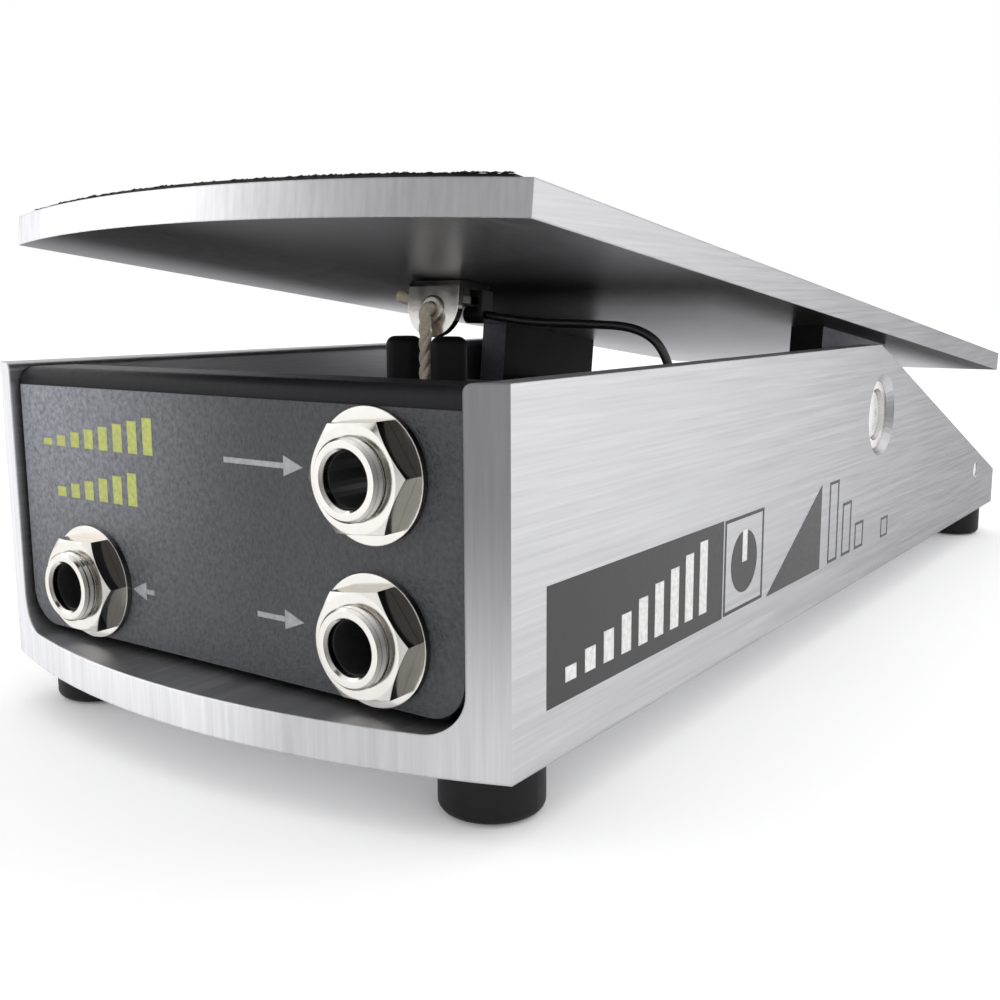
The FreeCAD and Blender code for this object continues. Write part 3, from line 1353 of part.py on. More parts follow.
def make_cord_wraps():
    """The turns of cord wound on the shaft, from its front side down and towards the left."""
    path = doc.addObject("Part::Helix", "wrap_path")
    path.LocalCoord = "Left-handed"
    bind(path, Pitch=D.wrap_pitch, Height=WRAP_SPAN, Radius=WRAP_RADIUS)
    place(path, 0, SHAFT_PLACE, D.pot_height, FreeCAD.Rotation(-Y_AXIS, Z_AXIS, -X_AXIS))
    section = doc.addObject("Part::Circle", "wrap_section")
    bind(section, Radius=D.cord_diameter / 2)
    lead = Vector(-float(D.wrap_pitch), 0, -2 * math.pi * float(WRAP_RADIUS))
    place(section, 0, D.cord_place, D.pot_height, FreeCAD.Rotation(Z_AXIS, lead))
    swept = doc.addObject("Part::Sweep", "wrap_sweep")
    swept.Sections = [section]
    swept.Spine = (path, [])
    swept.Solid = True
    swept.Frenet = True
    node(swept, "cord_wraps")


def along_pull(thing, reach):
    """Place a piece made along +Y on the line of pull, some way from where the cord leaves."""
    at = CORD_LEAVES + Vector(PULL).normalize() * float(reach)
    thing.Placement = FreeCAD.Placement(at, PULL_TURN)
    return thing


def make_cord_rear():
    """The cord's level run from the shaft to the eyelet, and the eyelet crimped on its end."""
    ring_edge = D.eyelet_size / 2
    crimp_start = D.eyelet_reach - ring_edge - D.crimp_length
    run = rod("cord_run", D.cord_diameter, D.eyelet_reach - ring_edge - 1, (0, 0, 0), "Y")
    node(along_pull(group("cord_rear_run", [run]), CORD_START_GAP), "cord_rear")
    ring = rod(
        "eyelet_ring",
        D.eyelet_size,
        D.eyelet_thickness,
        (0, 0, -D.eyelet_thickness / 2),
    )
    barrel = rod(
        "eyelet_barrel",
        D.crimp_diameter,
        D.crimp_length,
        (0, crimp_start - D.eyelet_reach + CRIMP_LAP, 0),
        "Y",
    )
    hole = rod("eyelet_hole", D.eyelet_hole, D.eyelet_thickness, (0, 0, -D.eyelet_thickness / 2))
    bore = rod(
        "eyelet_bore",
        D.cord_diameter + D.snug * 2,
        D.crimp_length,
        (0, crimp_start - D.eyelet_reach, 0),
        "Y",
    )
    blank = fuse("eyelet_blank", ring, barrel)
    node(along_pull(cut("eyelet_solid", blank, hole, bore), D.eyelet_reach), "spring_eyelet")


def hook_wire(name, middle, end, side):
    """A hook of spring wire: a straight from inside the coils, then half way round a rod."""
    radius = float(D.post_diameter / 2 + D.spring_wire / 2) + HOOK_ROOM
    straight = Part.LineSegment(Vector(0, end, radius), Vector(0, middle, radius)).toShape()
    bend = Part.Arc(
        Vector(0, middle, radius), Vector(0, middle + radius * side, 0), Vector(0, middle, -radius)
    ).toShape()
    tail = Part.LineSegment(
        Vector(0, middle, -radius), Vector(0, middle - side * HOOK_TAIL, -radius)
    ).toShape()
    path = Part.Wire([straight, bend, tail])
    start = Vector(0, end, radius)
    ring = Part.Wire(Part.makeCircle(float(D.spring_wire) / 2, start, Y_AXIS))
    return feature(name, path.makePipeShell([ring], True, True))


def make_tension_spring():
    """The long spring: its coils as one sleeve, with a hook in the eyelet and one on the post."""
    length = as_size(PULL.Length) - D.eyelet_reach - D.eyelet_hook
    coils = length - D.spring_hook * 2
    sleeve = rod("spring_sleeve", D.spring_diameter, coils, (0, D.spring_hook, 0), "Y")
    inside = rod(
        "spring_inside",
        D.spring_diameter - D.spring_wire * 2,
        coils,
        (0, D.spring_hook, 0),
        "Y",
    )
    hollow = cut("spring_coils", sleeve, inside)
    lap = float(D.spring_hook) + HOOK_LAP
    front = hook_wire("spring_front_hook", 0, lap, -1)
    rear = hook_wire("spring_rear_hook", float(length), float(length) - lap, 1)
    whole = fuse("spring_solid", hollow, front, rear)
    node(along_pull(whole, D.eyelet_reach + D.eyelet_hook), "tension_spring")


def make_ground_wire():
    """The wire that joins the treadle to the chassis, slack enough for the treadle's travel."""
    start = tread_point(D.terminal_end, D.tab_screw_place, D.terminal_height)
    lug = FLOOR_TOP + D.snug + D.barrel_diameter / 2
    lug_start = D.lug_place - D.lug_size - D.barrel_length
    end = Vector(float(D.lug_side), float(lug_start) - WIRE_END_GAP, float(lug))
    route = [start, *WIRE_POINTS, end]
    shape, length, radii = tube(route, float(D.wire_diameter))
    print("ground wire: length", round(length, 1), "radii", radii)
    print("ground wire route", [tuple(round(c, 2) for c in Vector(*p)) for p in route])
    node(feature("ground_wire", shape), "ground_wire")


def tread_point(x, y, z):
    """A point given in the treadle's frame, at the rest tilt."""
    turn = FreeCAD.Rotation(X_AXIS, -float(D.rest_tilt))
    return PIVOT + turn.multVec(Vector(float(x), float(y), float(z)))


# ------------------------------------------------------------------ model

make_chassis()
make_feet()
make_bushings()
make_spring_post()
make_panel()
make_overlay()
for jack_name, jack_x, jack_z, _ in JACKS:
    make_jack(jack_name, jack_x, jack_z)
make_jack_fittings()
make_pot_bracket()
make_pot()
make_bracket_screws()
make_ground_lug()
make_bumpers()
make_treadle_plate()
make_grip()
make_ears()
make_axle()
make_plate_screws()
make_cord_bracket()
make_bracket_eyelet()
make_bracket_nut()
make_cord_front()
make_cord_knot()
make_cord_wraps()
make_cord_rear()
make_tension_spring()
make_ground_wire()
doc.recompute()

for one in doc.Objects:
    if "Invalid" in one.State or "Error" in one.State:
        raise RuntimeError(f"{one.Label} did not recompute: {one.State}")
os.makedirs("parts", exist_ok=True)
for one in NODES:
    if one.Shape.isNull() or not one.Shape.isValid():
        raise RuntimeError(f"{one.Label} has a bad shape")
    one.Shape.exportStep(f"parts/{one.Label}.step")
    bounds = one.Shape.BoundBox
    print(
        one.Label,
        [round(v, 2) for v in (bounds.XMin, bounds.XMax, bounds.YMin, bounds.YMax)],
        [round(v, 2) for v in (bounds.ZMin, bounds.ZMax)],
        round(one.Shape.Volume, 1),
        len(one.Shape.Solids),
    )
print(len(NODES), "parts")
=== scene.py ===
import json
import math
import random

import bpy
from mathutils import Matrix, Vector


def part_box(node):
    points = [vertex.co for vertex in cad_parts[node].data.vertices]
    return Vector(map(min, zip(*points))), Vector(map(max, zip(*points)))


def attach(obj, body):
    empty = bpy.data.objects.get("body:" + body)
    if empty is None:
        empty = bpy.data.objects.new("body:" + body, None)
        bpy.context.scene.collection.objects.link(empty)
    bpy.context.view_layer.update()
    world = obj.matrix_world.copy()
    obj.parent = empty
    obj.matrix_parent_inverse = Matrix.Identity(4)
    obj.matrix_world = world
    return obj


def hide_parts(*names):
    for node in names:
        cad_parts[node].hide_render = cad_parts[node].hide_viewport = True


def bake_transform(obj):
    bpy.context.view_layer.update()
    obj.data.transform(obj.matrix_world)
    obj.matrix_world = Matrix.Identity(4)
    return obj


# A foot volume pedal seen from its toe end: materials, printed marks, laid cord, coil spring,
# grit, light and camera, on the frame of the CAD model. Lengths are in metres. Only the marks
# are drawn in millimetres.

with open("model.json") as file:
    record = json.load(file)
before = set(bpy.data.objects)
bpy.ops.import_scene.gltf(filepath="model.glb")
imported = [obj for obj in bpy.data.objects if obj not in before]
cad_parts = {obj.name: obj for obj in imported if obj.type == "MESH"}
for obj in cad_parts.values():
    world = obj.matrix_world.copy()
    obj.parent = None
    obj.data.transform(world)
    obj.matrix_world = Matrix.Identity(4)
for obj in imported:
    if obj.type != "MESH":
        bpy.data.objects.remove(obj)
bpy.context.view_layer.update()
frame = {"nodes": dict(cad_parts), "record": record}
nodes = frame["nodes"]
slots = {part["node"]: part["material_slot"] for part in frame["record"]["subparts"]}
MM = 0.001

# ---------------------------------------------------------------- camera

CAMERA_PLACE = (0.11118, -0.20128, 0.05798)
CAMERA_YAW = math.radians(35.047)
CAMERA_PITCH = math.radians(9.637)
CAMERA_ROLL = math.radians(-0.269)
LENS_MM = 42.15
SENSOR_MM = 36
NEAR_LIMIT = 0.01


def make_camera():
    """The photograph's view: in front of the toe end, to its right, looking a little down."""
    yaw, pitch, roll = CAMERA_YAW, CAMERA_PITCH, CAMERA_ROLL
    level = math.cos(pitch)
    ahead = Vector((-math.sin(yaw) * level, math.cos(yaw) * level, -math.sin(pitch)))
    right = ahead.cross(Vector((0, 0, 1))).normalized()
    up = right.cross(ahead)
    across = right * math.cos(roll) + up * math.sin(roll)
    above = up * math.cos(roll) - right * math.sin(roll)
    data = bpy.data.cameras.new("camera")
    data.lens = LENS_MM
    data.sensor_width = SENSOR_MM
    data.clip_start = NEAR_LIMIT
    camera = bpy.data.objects.new("camera", data)
    bpy.context.scene.collection.objects.link(camera)
    turn = Matrix((across, above, -ahead)).transposed().to_4x4()
    camera.matrix_world = Matrix.Translation(CAMERA_PLACE) @ turn
    bpy.context.scene.camera = camera


# ------------------------------------------------------------- materials

NOISE_RANGE = (0.25, 0.75)
NOISE_ROUGHNESS = 0.55
FACING_RANGE = (0.55, 0.75)
BRUSHED_GRAIN = (2600, 45, 2600)
SAWN_GRAIN = (1500, 1500, 60)
METAL_ROUNDING = 0.0004
SMALL_ROUNDING = 0.0002


class Shader:
    """A procedural material made of a few linked nodes."""

    def __init__(self, name, base, roughness, metallic=0.0):
        self.material = bpy.data.materials.new(name)
        self.material.use_nodes = True
        self.tree = self.material.node_tree
        self.surface = self.tree.nodes["Principled BSDF"]
        self.surface.inputs["Base Color"].default_value = (*base, 1)
        self.surface.inputs["Roughness"].default_value = roughness
        self.surface.inputs["Metallic"].default_value = metallic
        self.base = base
        self.where = self.add("ShaderNodeTexCoord").outputs["Object"]

    def add(self, kind, **settings):
        """A node with some of its settings or input values."""
        node = self.tree.nodes.new(kind)
        for name, value in settings.items():
            setattr(node, name, value)
        return node

    def link(self, output, target):
        """Join an output to an input."""
        self.tree.links.new(output, target)

    def noise(self, scale, detail, stretch=(1, 1, 1)):
        """Noise in metres of the object, stretched along its axes."""
        mapping = self.add("ShaderNodeMapping")
        mapping.inputs["Scale"].default_value = stretch
        self.link(self.where, mapping.inputs["Vector"])
        texture = self.add("ShaderNodeTexNoise")
        texture.inputs["Scale"].default_value = scale
        texture.inputs["Detail"].default_value = detail
        texture.inputs["Roughness"].default_value = NOISE_ROUGHNESS
        self.link(mapping.outputs["Vector"], texture.inputs["Vector"])
        return texture.outputs["Fac"]

    def ranged(self, value, start, end, low=0.0, high=1.0, **settings):
        """From low to high as a value runs from start to end."""
        node = self.add("ShaderNodeMapRange", **settings)
        node.inputs["From Min"].default_value = start
        node.inputs["From Max"].default_value = end
        node.inputs["To Min"].default_value = low
        node.inputs["To Max"].default_value = high
        self.link(value, node.inputs["Value"])
        return node.outputs["Result"]

    def spread(self, value, low=0.0, high=1.0):
        """A noise value spread over a range."""
        return self.ranged(value, *NOISE_RANGE, low, high)

    def tint(self, value, dark, light):
        """Colour the surface by a noise value, between two shares of its base colour."""
        ramp = self.add("ShaderNodeMix", data_type="RGBA")
        ramp.inputs["A"].default_value = (*(c * dark for c in self.base), 1)
        ramp.inputs["B"].default_value = (*(min(c * light, 1) for c in self.base), 1)
        self.link(self.spread(value), ramp.inputs["Factor"])
        self.link(ramp.outputs["Result"], self.surface.inputs["Base Color"])

    def relief(self, value, depth, rounding=0.0):
        """Bump the surface by a value times a depth in metres, with softened edges."""
        bump = self.add("ShaderNodeBump")
        bump.inputs["Strength"].default_value = 1.0
        bump.inputs["Distance"].default_value = depth
        self.link(value, bump.inputs["Height"])
        if rounding:
            bevel = self.add("ShaderNodeBevel", samples=4)
            bevel.inputs["Radius"].default_value = rounding
            self.link(bevel.outputs["Normal"], bump.inputs["Normal"])
        self.link(bump.outputs["Normal"], self.surface.inputs["Normal"])

    def rough(self, value, low, high):
        """Vary the roughness by a noise value."""
        self.link(self.spread(value, low, high), self.surface.inputs["Roughness"])

    def part(self, vector, axis):
        """A vector's part along an axis."""
        node = self.add("ShaderNodeSeparateXYZ")
        self.link(vector, node.inputs["Vector"])
        return node.outputs[axis]

    def direction(self, axis):
        """How far a surface's direction points along an axis, from -1 to 1."""
        return self.part(self.add("ShaderNodeNewGeometry").outputs["True Normal"], axis)

    def facing(self, axis):
        """How squarely a surface faces along an axis, either way, from 0 to 1."""
        size = self.add("ShaderNodeMath", operation="ABSOLUTE")
        self.link(self.direction(axis), size.inputs[0])
        return self.ranged(size.outputs[0], *FACING_RANGE)

    def turned(self, axis, start, end, low=0.0, high=1.0):
        """From low to high as a surface's direction along an axis runs between two values."""
        return self.ranged(self.direction(axis), start, end, low, high)

    def along(self, axis, start, end, low, high):
        """From low to high, eased, between two places along an axis."""
        place = self.part(self.where, axis)
        return self.ranged(place, start, end, low, high, interpolation_type="SMOOTHSTEP")

    def choose(self, operation, first, second):
        """The larger (MAXIMUM) or the smaller (MINIMUM) of two values."""
        node = self.add("ShaderNodeMath", operation=operation)
        self.link(first, node.inputs[0])
        self.link(second, node.inputs[1])
        return node.outputs[0]

    def shade(self, share, amount):
        """Paint light or shade: scale the base colour as it is so far to an amount of it, by a
        share.
        """
        scale = self.add("ShaderNodeMapRange")
        scale.inputs["To Min"].default_value = 1.0
        self.link(share, scale.inputs["Value"])
        self.link(amount, scale.inputs["To Max"])
        value = self.add("ShaderNodeVectorMath", operation="SCALE")
        self.link(self.surface.inputs["Base Color"].links[0].from_socket, value.inputs[0])
        self.link(scale.outputs["Result"], value.inputs["Scale"])
        self.link(value.outputs["Vector"], self.surface.inputs["Base Color"])
        # on metal the painted light or shade tints the grazing reflection too
        if self.surface.inputs["Metallic"].default_value > 0.5:
            self.link(value.outputs["Vector"], self.surface.inputs["Specular Tint"])

    def pick(self, share, first, second):
        """Mix two values by a share."""
        mix = self.add("ShaderNodeMix", data_type="FLOAT")
        self.link(share, mix.inputs["Factor"])
        self.link(first, mix.inputs["A"])
        self.link(second, mix.inputs["B"])
        return mix.outputs["Result"]


def brushed(name, base, roughness, depth):
    """Brushed metal with its grain along Y, and upright saw lines on the faces across Y."""
    made = Shader(name, base, roughness, 1.0)
    grain = made.noise(1.0, 4, BRUSHED_GRAIN)
    sawn = made.noise(1.0, 4, SAWN_GRAIN)
    lines = made.pick(made.facing("Y"), grain, sawn)
    made.tint(lines, 0.86, 1.06)
    made.rough(lines, roughness - 0.06, roughness + 0.08)
    made.relief(lines, depth, METAL_ROUNDING)
    return made


def channel_metal():
    """The chassis, with painted shade: darker toward the heel, dimmed on top, and on its front
    faces darker upward and to the right.
    """
    made = brushed("channel_aluminium", (0.8, 0.8, 0.82), 0.36, 0.00001)
    # painted shade: the sides darker toward the heel
    made.shade(made.facing("X"), made.along("Y", -0.09, 0.1, 0.8, 0.6))
    # painted shade: the top faces dimmed
    made.shade(made.turned("Z", 0.4, 0.8), made.along("Y", -0.1, 0.1, 0.8, 0.72))
    # painted reflection: the front faces darker upward and to the right
    right = made.along("X", 0.0, 0.041, 1.1, 0.27)
    low = made.along("Z", 0.006, 0.04, 0.75, 0.27)
    made.shade(made.facing("Y"), made.choose("MAXIMUM", right, low))
    return made.material


def treadle_metal():
    """The treadle plate, with painted shade and light: darker toward the heel, dimmed on top,
    darker to the right on its front, and dark below, but lighter to the left, front right and
    back right.
    """
    made = brushed("treadle_aluminium", (0.83, 0.83, 0.85), 0.34, 0.000012)
    # painted shade: the sides darker toward the heel
    made.shade(made.facing("X"), made.along("Y", -0.09, 0.1, 0.7, 0.58))
    # painted shade: the top faces dimmed
    made.shade(made.turned("Z", 0.4, 0.8), made.along("Y", -0.1, 0.1, 0.8, 0.72))
    # painted reflection: the front faces darker to the right
    made.shade(made.facing("Y"), made.along("X", -0.008, 0.036, 1.05, 0.42))
    # painted shade underneath, with painted light to the left, front right and back right
    left = made.along("X", -0.02, -0.046, 0.14, 0.5)
    right = made.along("X", -0.01, 0.03, 0.14, 1.0)
    front = made.along("Y", -0.085, -0.045, 1.0, 0.2)
    corner = made.choose("MINIMUM", right, front)
    back = made.along("Y", -0.055, -0.015, 0.14, 0.75)
    inside = made.along("X", 0.044, 0.026, 0.14, 0.75)
    rear = made.choose("MINIMUM", back, inside)
    amount = made.choose("MAXIMUM", left, made.choose("MAXIMUM", corner, rear))
    made.shade(made.turned("Z", -0.5, -0.8), amount)
    return made.material


def ear_black_and_painted_light():
    """The pivot ears' black, with painted light on the left ear's front and the right ear's
    outside, and painted shade on the left ear's inner side.
    """
    made = Shader("ear_black", (0.012, 0.012, 0.014), 0.6)
    made.surface.inputs["Specular IOR Level"].default_value = 0.18
    texture = made.noise(900, 5)
    made.tint(texture, 0.8, 1.25)
    made.relief(texture, 0.00001, SMALL_ROUNDING)
    # painted light: the left ear's front paler
    made.shade(made.facing("Y"), made.along("X", -0.02, 0.02, 9.0, 1.0))
    # painted light on the right ear's outside, painted shade on the left ear's inner side
    made.shade(made.facing("X"), made.along("X", 0.0, 0.036, 0.6, 16.0))
    return made.material


def clouded(name, base, roughness, smoothest, roughest):
    """Plated metal with faint cloudiness and fine scratches."""
    made = Shader(name, base, roughness, 1.0)
    clouds = made.noise(400, 4)
    made.tint(clouds, 0.94, 1.03)
    made.rough(clouds, smoothest, roughest)
    made.relief(made.noise(1500, 2), 0.000004, SMALL_ROUNDING)
    return made


def plated():
    """The jacks' nickel, with painted shade on the faces turned to the right."""
    made = clouded("nickel", (0.82, 0.8, 0.76), 0.13, 0.09, 0.2)
    # painted shade on the faces turned to the right
    made.shade(made.turned("X", 0.25, 0.75), made.turned("Z", 0.5, -0.5, 0.07, 0.4))
    return made.material


def polished(name, base, roughness):
    """The plating of the other small parts."""
    return clouded(name, base, roughness, roughness * 0.7, roughness * 1.5).material


def satin(name, base, roughness, grain, depth, gloss=0.5):
    """Paint, rubber or plastic with a fine texture."""
    made = Shader(name, base, roughness)
    made.surface.inputs["Specular IOR Level"].default_value = gloss
    texture = made.noise(grain, 5)
    made.tint(texture, 0.8, 1.25)
    made.rough(texture, roughness - 0.05, roughness + 0.08)
    made.relief(texture, depth, SMALL_ROUNDING)
    return made.material


def leathered(name, base, roughness):
    """The panel's overlay: pebbled like fine leather, with a painted sheen that makes it paler to
    the left, most toward the top.
    """
    made = Shader(name, base, roughness)
    cells = made.add("ShaderNodeTexVoronoi", feature="SMOOTH_F1")
    cells.inputs["Scale"].default_value = 2600
    cells.inputs["Smoothness"].default_value = 0.6
    made.link(made.where, cells.inputs["Vector"])
    wrinkles = made.noise(1500, 4)
    pebbles = made.pick(wrinkles, cells.outputs["Distance"], wrinkles)
    made.tint(wrinkles, 0.5, 1.6)
    made.rough(wrinkles, roughness - 0.05, roughness + 0.08)
    made.relief(pebbles, 0.00013)
    # painted sheen: paler to the upper left, a little darker to the right
    made.shade(made.along("Z", 0.012, 0.045, 0.3, 1.0), made.along("X", -0.038, 0.012, 4.6, 0.7))
    return made.material


def make_materials():
    """One material for each of the record's slots, and a few for the marks."""
    return {
        "channel_aluminium": channel_metal(),
        "treadle_aluminium": treadle_metal(),
        "black_rubber": satin("black_rubber", (0.009, 0.009, 0.01), 0.5, 900, 0.00003, 0.18),
        "bright_steel": polished("bright_steel", (0.78, 0.78, 0.78), 0.22),
        "ear_black": ear_black_and_painted_light(),
        "grommet_metal": polished("grommet_metal", (0.7, 0.67, 0.62), 0.35),
        "black_steel": satin("black_steel", (0.009, 0.009, 0.01), 0.45, 1200, 0.00001, 0.2),
        "bushing_bronze": polished("bushing_bronze", (0.75, 0.74, 0.72), 0.3),
        "panel_steel": satin("panel_steel", (0.01, 0.01, 0.012), 0.42, 1300, 0.00003, 0.14),
        "overlay_vinyl": leathered("overlay_vinyl", (0.045, 0.047, 0.053), 0.46),
        "nickel": plated(),
        "insulator": satin("insulator", (0.12, 0.05, 0.02), 0.5, 800, 0.00002),
        "grit_sheet": satin("grit_sheet", (0.012, 0.012, 0.012), 0.75, 700, 0.0002),
        "spacer_plastic": satin("spacer_plastic", (0.75, 0.74, 0.7), 0.45, 500, 0.00001),
        "cord_braid": satin("cord_braid", (0.8, 0.71, 0.58), 0.72, 2500, 0.00006, 0.3),
        "spring_steel": polished("spring_steel", (0.6, 0.6, 0.6), 0.25),
        "wire_black": satin("wire_black", (0.01, 0.01, 0.01), 0.35, 900, 0.00001),
        # the black of the printed marks, also used as painted shade inside the jacks' bores
        "ink_and_shade_black": satin("ink_and_shade_black", (0.02, 0.02, 0.022), 0.4, 1500, 0.00001),
        "ink_pale": satin("ink_pale", (0.7, 0.7, 0.69), 0.45, 1500, 0.00001),
        "ink_grey": satin("ink_grey", (0.33, 0.33, 0.34), 0.5, 1500, 0.00001),
        "ink_lime": satin("ink_lime", (0.42, 0.45, 0.12), 0.5, 1500, 0.00001),
    }


# --------------------------------------------------------------- helpers


def add_mesh(name, points, faces, material, smooth=False):
    """A mesh object in the row frame."""
    data = bpy.data.meshes.new(name)
    data.from_pydata([tuple(p) for p in points], [], faces)
    data.materials.append(material)
    data.polygons.foreach_set("use_smooth", [smooth] * len(data.polygons))
    made = bpy.data.objects.new(name, data)
    bpy.context.scene.collection.objects.link(made)
    return made


def smooth_route(name, points):
    """Points along the smooth line that a route's corners control."""
    data = bpy.data.curves.new(name, "CURVE")
    data.dimensions = "3D"
    data.resolution_u = 24
    spline = data.splines.new("NURBS")
    spline.points.add(len(points) - 1)
    for target, point in zip(spline.points, points):
        target.co = (*point, 1)
    spline.order_u = 3
    spline.use_endpoint_u = True
    holder = bpy.data.objects.new(name, data)
    bpy.context.scene.collection.objects.link(holder)
    bpy.context.view_layer.update()
    line = bpy.data.meshes.new_from_object(holder)
    found = [v.co.copy() for v in line.vertices]
    bpy.data.objects.remove(holder)
    return found


def resample(points, step):
    """Points at even distances along a line."""
    found = [points[0].copy()]
    left = step
    for start, end in zip(points, points[1:]):
        run = end - start
        done = 0.0
        while run.length - done >= left:
            done += left
            found.append(start + run.normalized() * done)
            left = step
        left -= run.length - done
    if (found[-1] - points[-1]).length > step * 0.3:
        found.append(points[-1].copy())
    return found


def carried_frames(line):
    """At each point of a line: two directions across it that turn as little as they can."""
    side = (line[1] - line[0]).orthogonal().normalized()
    found = []
    for i in range(len(line)):
        along = line[min(i + 1, len(line) - 1)] - line[max(i - 1, 0)]
        along.normalize()
        side = (side - along * side.dot(along)).normalized()
        found.append((side, along.cross(side)))
    return found


def ring_point(centre, side, other, radius, angle):
    """The point at an angle round a centre, from one direction toward another."""
    return centre + side * radius * math.cos(angle) + other * radius * math.sin(angle)


def tube_mesh(lines, radius, sides):
    """Points and faces of closed tubes along several lines."""
    points, faces = [], []
    for line in lines:
        start = len(points)
        for centre, (side, other) in zip(line, carried_frames(line)):
            for k in range(sides):
                points.append(ring_point(centre, side, other, radius, math.tau * k / sides))
        for i in range(len(line) - 1):
            for k in range(sides):
                a = start + i * sides + k
                b = start + i * sides + (k + 1) % sides
                faces.append((a, b, b + sides, a + sides))
        faces.append(tuple(range(start + sides - 1, start - 1, -1)))
        faces.append(tuple(range(len(points) - sides, len(points))))
    return points, faces


def strands(line, count, radius, lead):
    """Lines of the strands that twist round a line."""
    frames = carried_frames(line)
    found = [[] for _ in range(count)]
    gone = 0.0
    for i, (side, other) in enumerate(frames):
        if i:
            gone += (line[i] - line[i - 1]).length
        for k in range(count):
            angle = math.tau * gone / lead + math.tau * k / count
            found[k].append(ring_point(line[i], side, other, radius, angle))
    return found


# ------------------------------------------------------------ soft parts

CORD_RADIUS = 0.001
CORD_STEP = 0.0003
CORD_LAY = 0.0065
STRAND_OFFSET = CORD_RADIUS * 0.46
STRAND_RADIUS = CORD_RADIUS * 0.53
TURN_PITCH = 0.0021
CORD_ROUTE = [(0.0004, -0.05807, 0.05651), (0.0004, -0.0626, 0.05707), (0, -0.0626, 0.02515)]
WIRE_RADIUS = 0.000625
WIRE_STEP = 0.0007
WIRE_ROUTE = [
    (0.0067, -0.05561, 0.05596),
    (0.0140, -0.0560, 0.0549),
    (0.0240, -0.0561, 0.05475),
    (0.0330, -0.0560, 0.0544),
    (0.0373, -0.0556, 0.0509),
    (0.0384, -0.0544, 0.0410),
    (0.0370, -0.0510, 0.0280),
    (0.0352, -0.0470, 0.0190),
    (0.0335, -0.0435, 0.0145),
    (0.0315, -0.03735, 0.0130),
]


def twisted_cord(name, line, material):
    """A cord of three strands laid round each other."""
    laid = strands(resample(line, CORD_STEP), 3, STRAND_OFFSET, CORD_LAY)
    points, faces = tube_mesh(laid, STRAND_RADIUS, 8)
    return add_mesh(name, points, faces, material, smooth=True)


def make_cords(materials):
    """The front cord, the level cord to the spring, and the ground wire."""
    # the corner points lie close to the bracket, so that the line bends tightly there
    knot, corner, low = (Vector(p) for p in CORD_ROUTE)
    before = [knot, corner.lerp(knot, 0.4)]
    after = [corner.lerp(low, 0.07), corner.lerp(low, 0.2), low]
    route = smooth_route("front_route", before + [corner] + after)
    front = twisted_cord("front_cord", route, materials["cord_braid"])
    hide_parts("cord_front")
    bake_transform(front)

    run_low, run_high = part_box("cord_rear")
    middle = (run_low.x + run_high.x) / 2
    start = Vector((middle, run_low.y, run_high.z - CORD_RADIUS))
    end = Vector((middle, run_high.y, run_low.z + CORD_RADIUS))
    rear = twisted_cord("rear_cord", [start, end], materials["cord_braid"])
    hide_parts("cord_rear")
    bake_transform(rear)

    line = resample(smooth_route("wire_route", WIRE_ROUTE), WIRE_STEP)
    points, faces = tube_mesh([line], WIRE_RADIUS, 12)
    wire = add_mesh("ground_lead", points, faces, materials["wire_black"], smooth=True)
    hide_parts("ground_wire")
    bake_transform(wire)


def make_wraps(materials):
    """The cord's turns round the shaft as closed rings, which look alike however it turns."""
    low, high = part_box("cord_wraps")
    centre = (low + high) / 2
    reach = (high.y - low.y) / 2 - CORD_RADIUS
    span = high.x - low.x - 2 * CORD_RADIUS
    count = round(span / TURN_PITCH) + 1
    steps, sides = 72, 12
    points, faces = [], []
    for ring in range(count):
        x = high.x - CORD_RADIUS - span * ring / (count - 1)
        start = len(points)
        for i in range(steps):
            turn = math.tau * i / steps
            for k in range(sides):
                lean = math.tau * k / sides
                out = reach + CORD_RADIUS * math.cos(lean)
                side = Vector((CORD_RADIUS * math.sin(lean), 0, 0))
                spoke = Vector((0, out * math.cos(turn), out * math.sin(turn)))
                points.append(Vector((x, centre.y, centre.z)) + side + spoke)
                here, after = start + i * sides, start + (i + 1) % steps * sides
                following = (k + 1) % sides
                faces.append((here + k, after + k, after + following, here + following))
    wraps = add_mesh("shaft_turns", points, faces, materials["cord_braid"], smooth=True)
    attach(wraps, "pot_rotor")
    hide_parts("cord_wraps")


SPRING_WIRE = 0.0004
SPRING_COIL = 0.0032 - SPRING_WIRE
SPRING_PITCH = 0.0011
SPRING_END = 0.0055
HOOK_RADIUS = 0.00255
HOOK_PLACE = 0.00295
HOOK_START = 0.62
HOOK_TURN = 1.12
HOOK_STEPS = 12
COIL_STEPS = 14


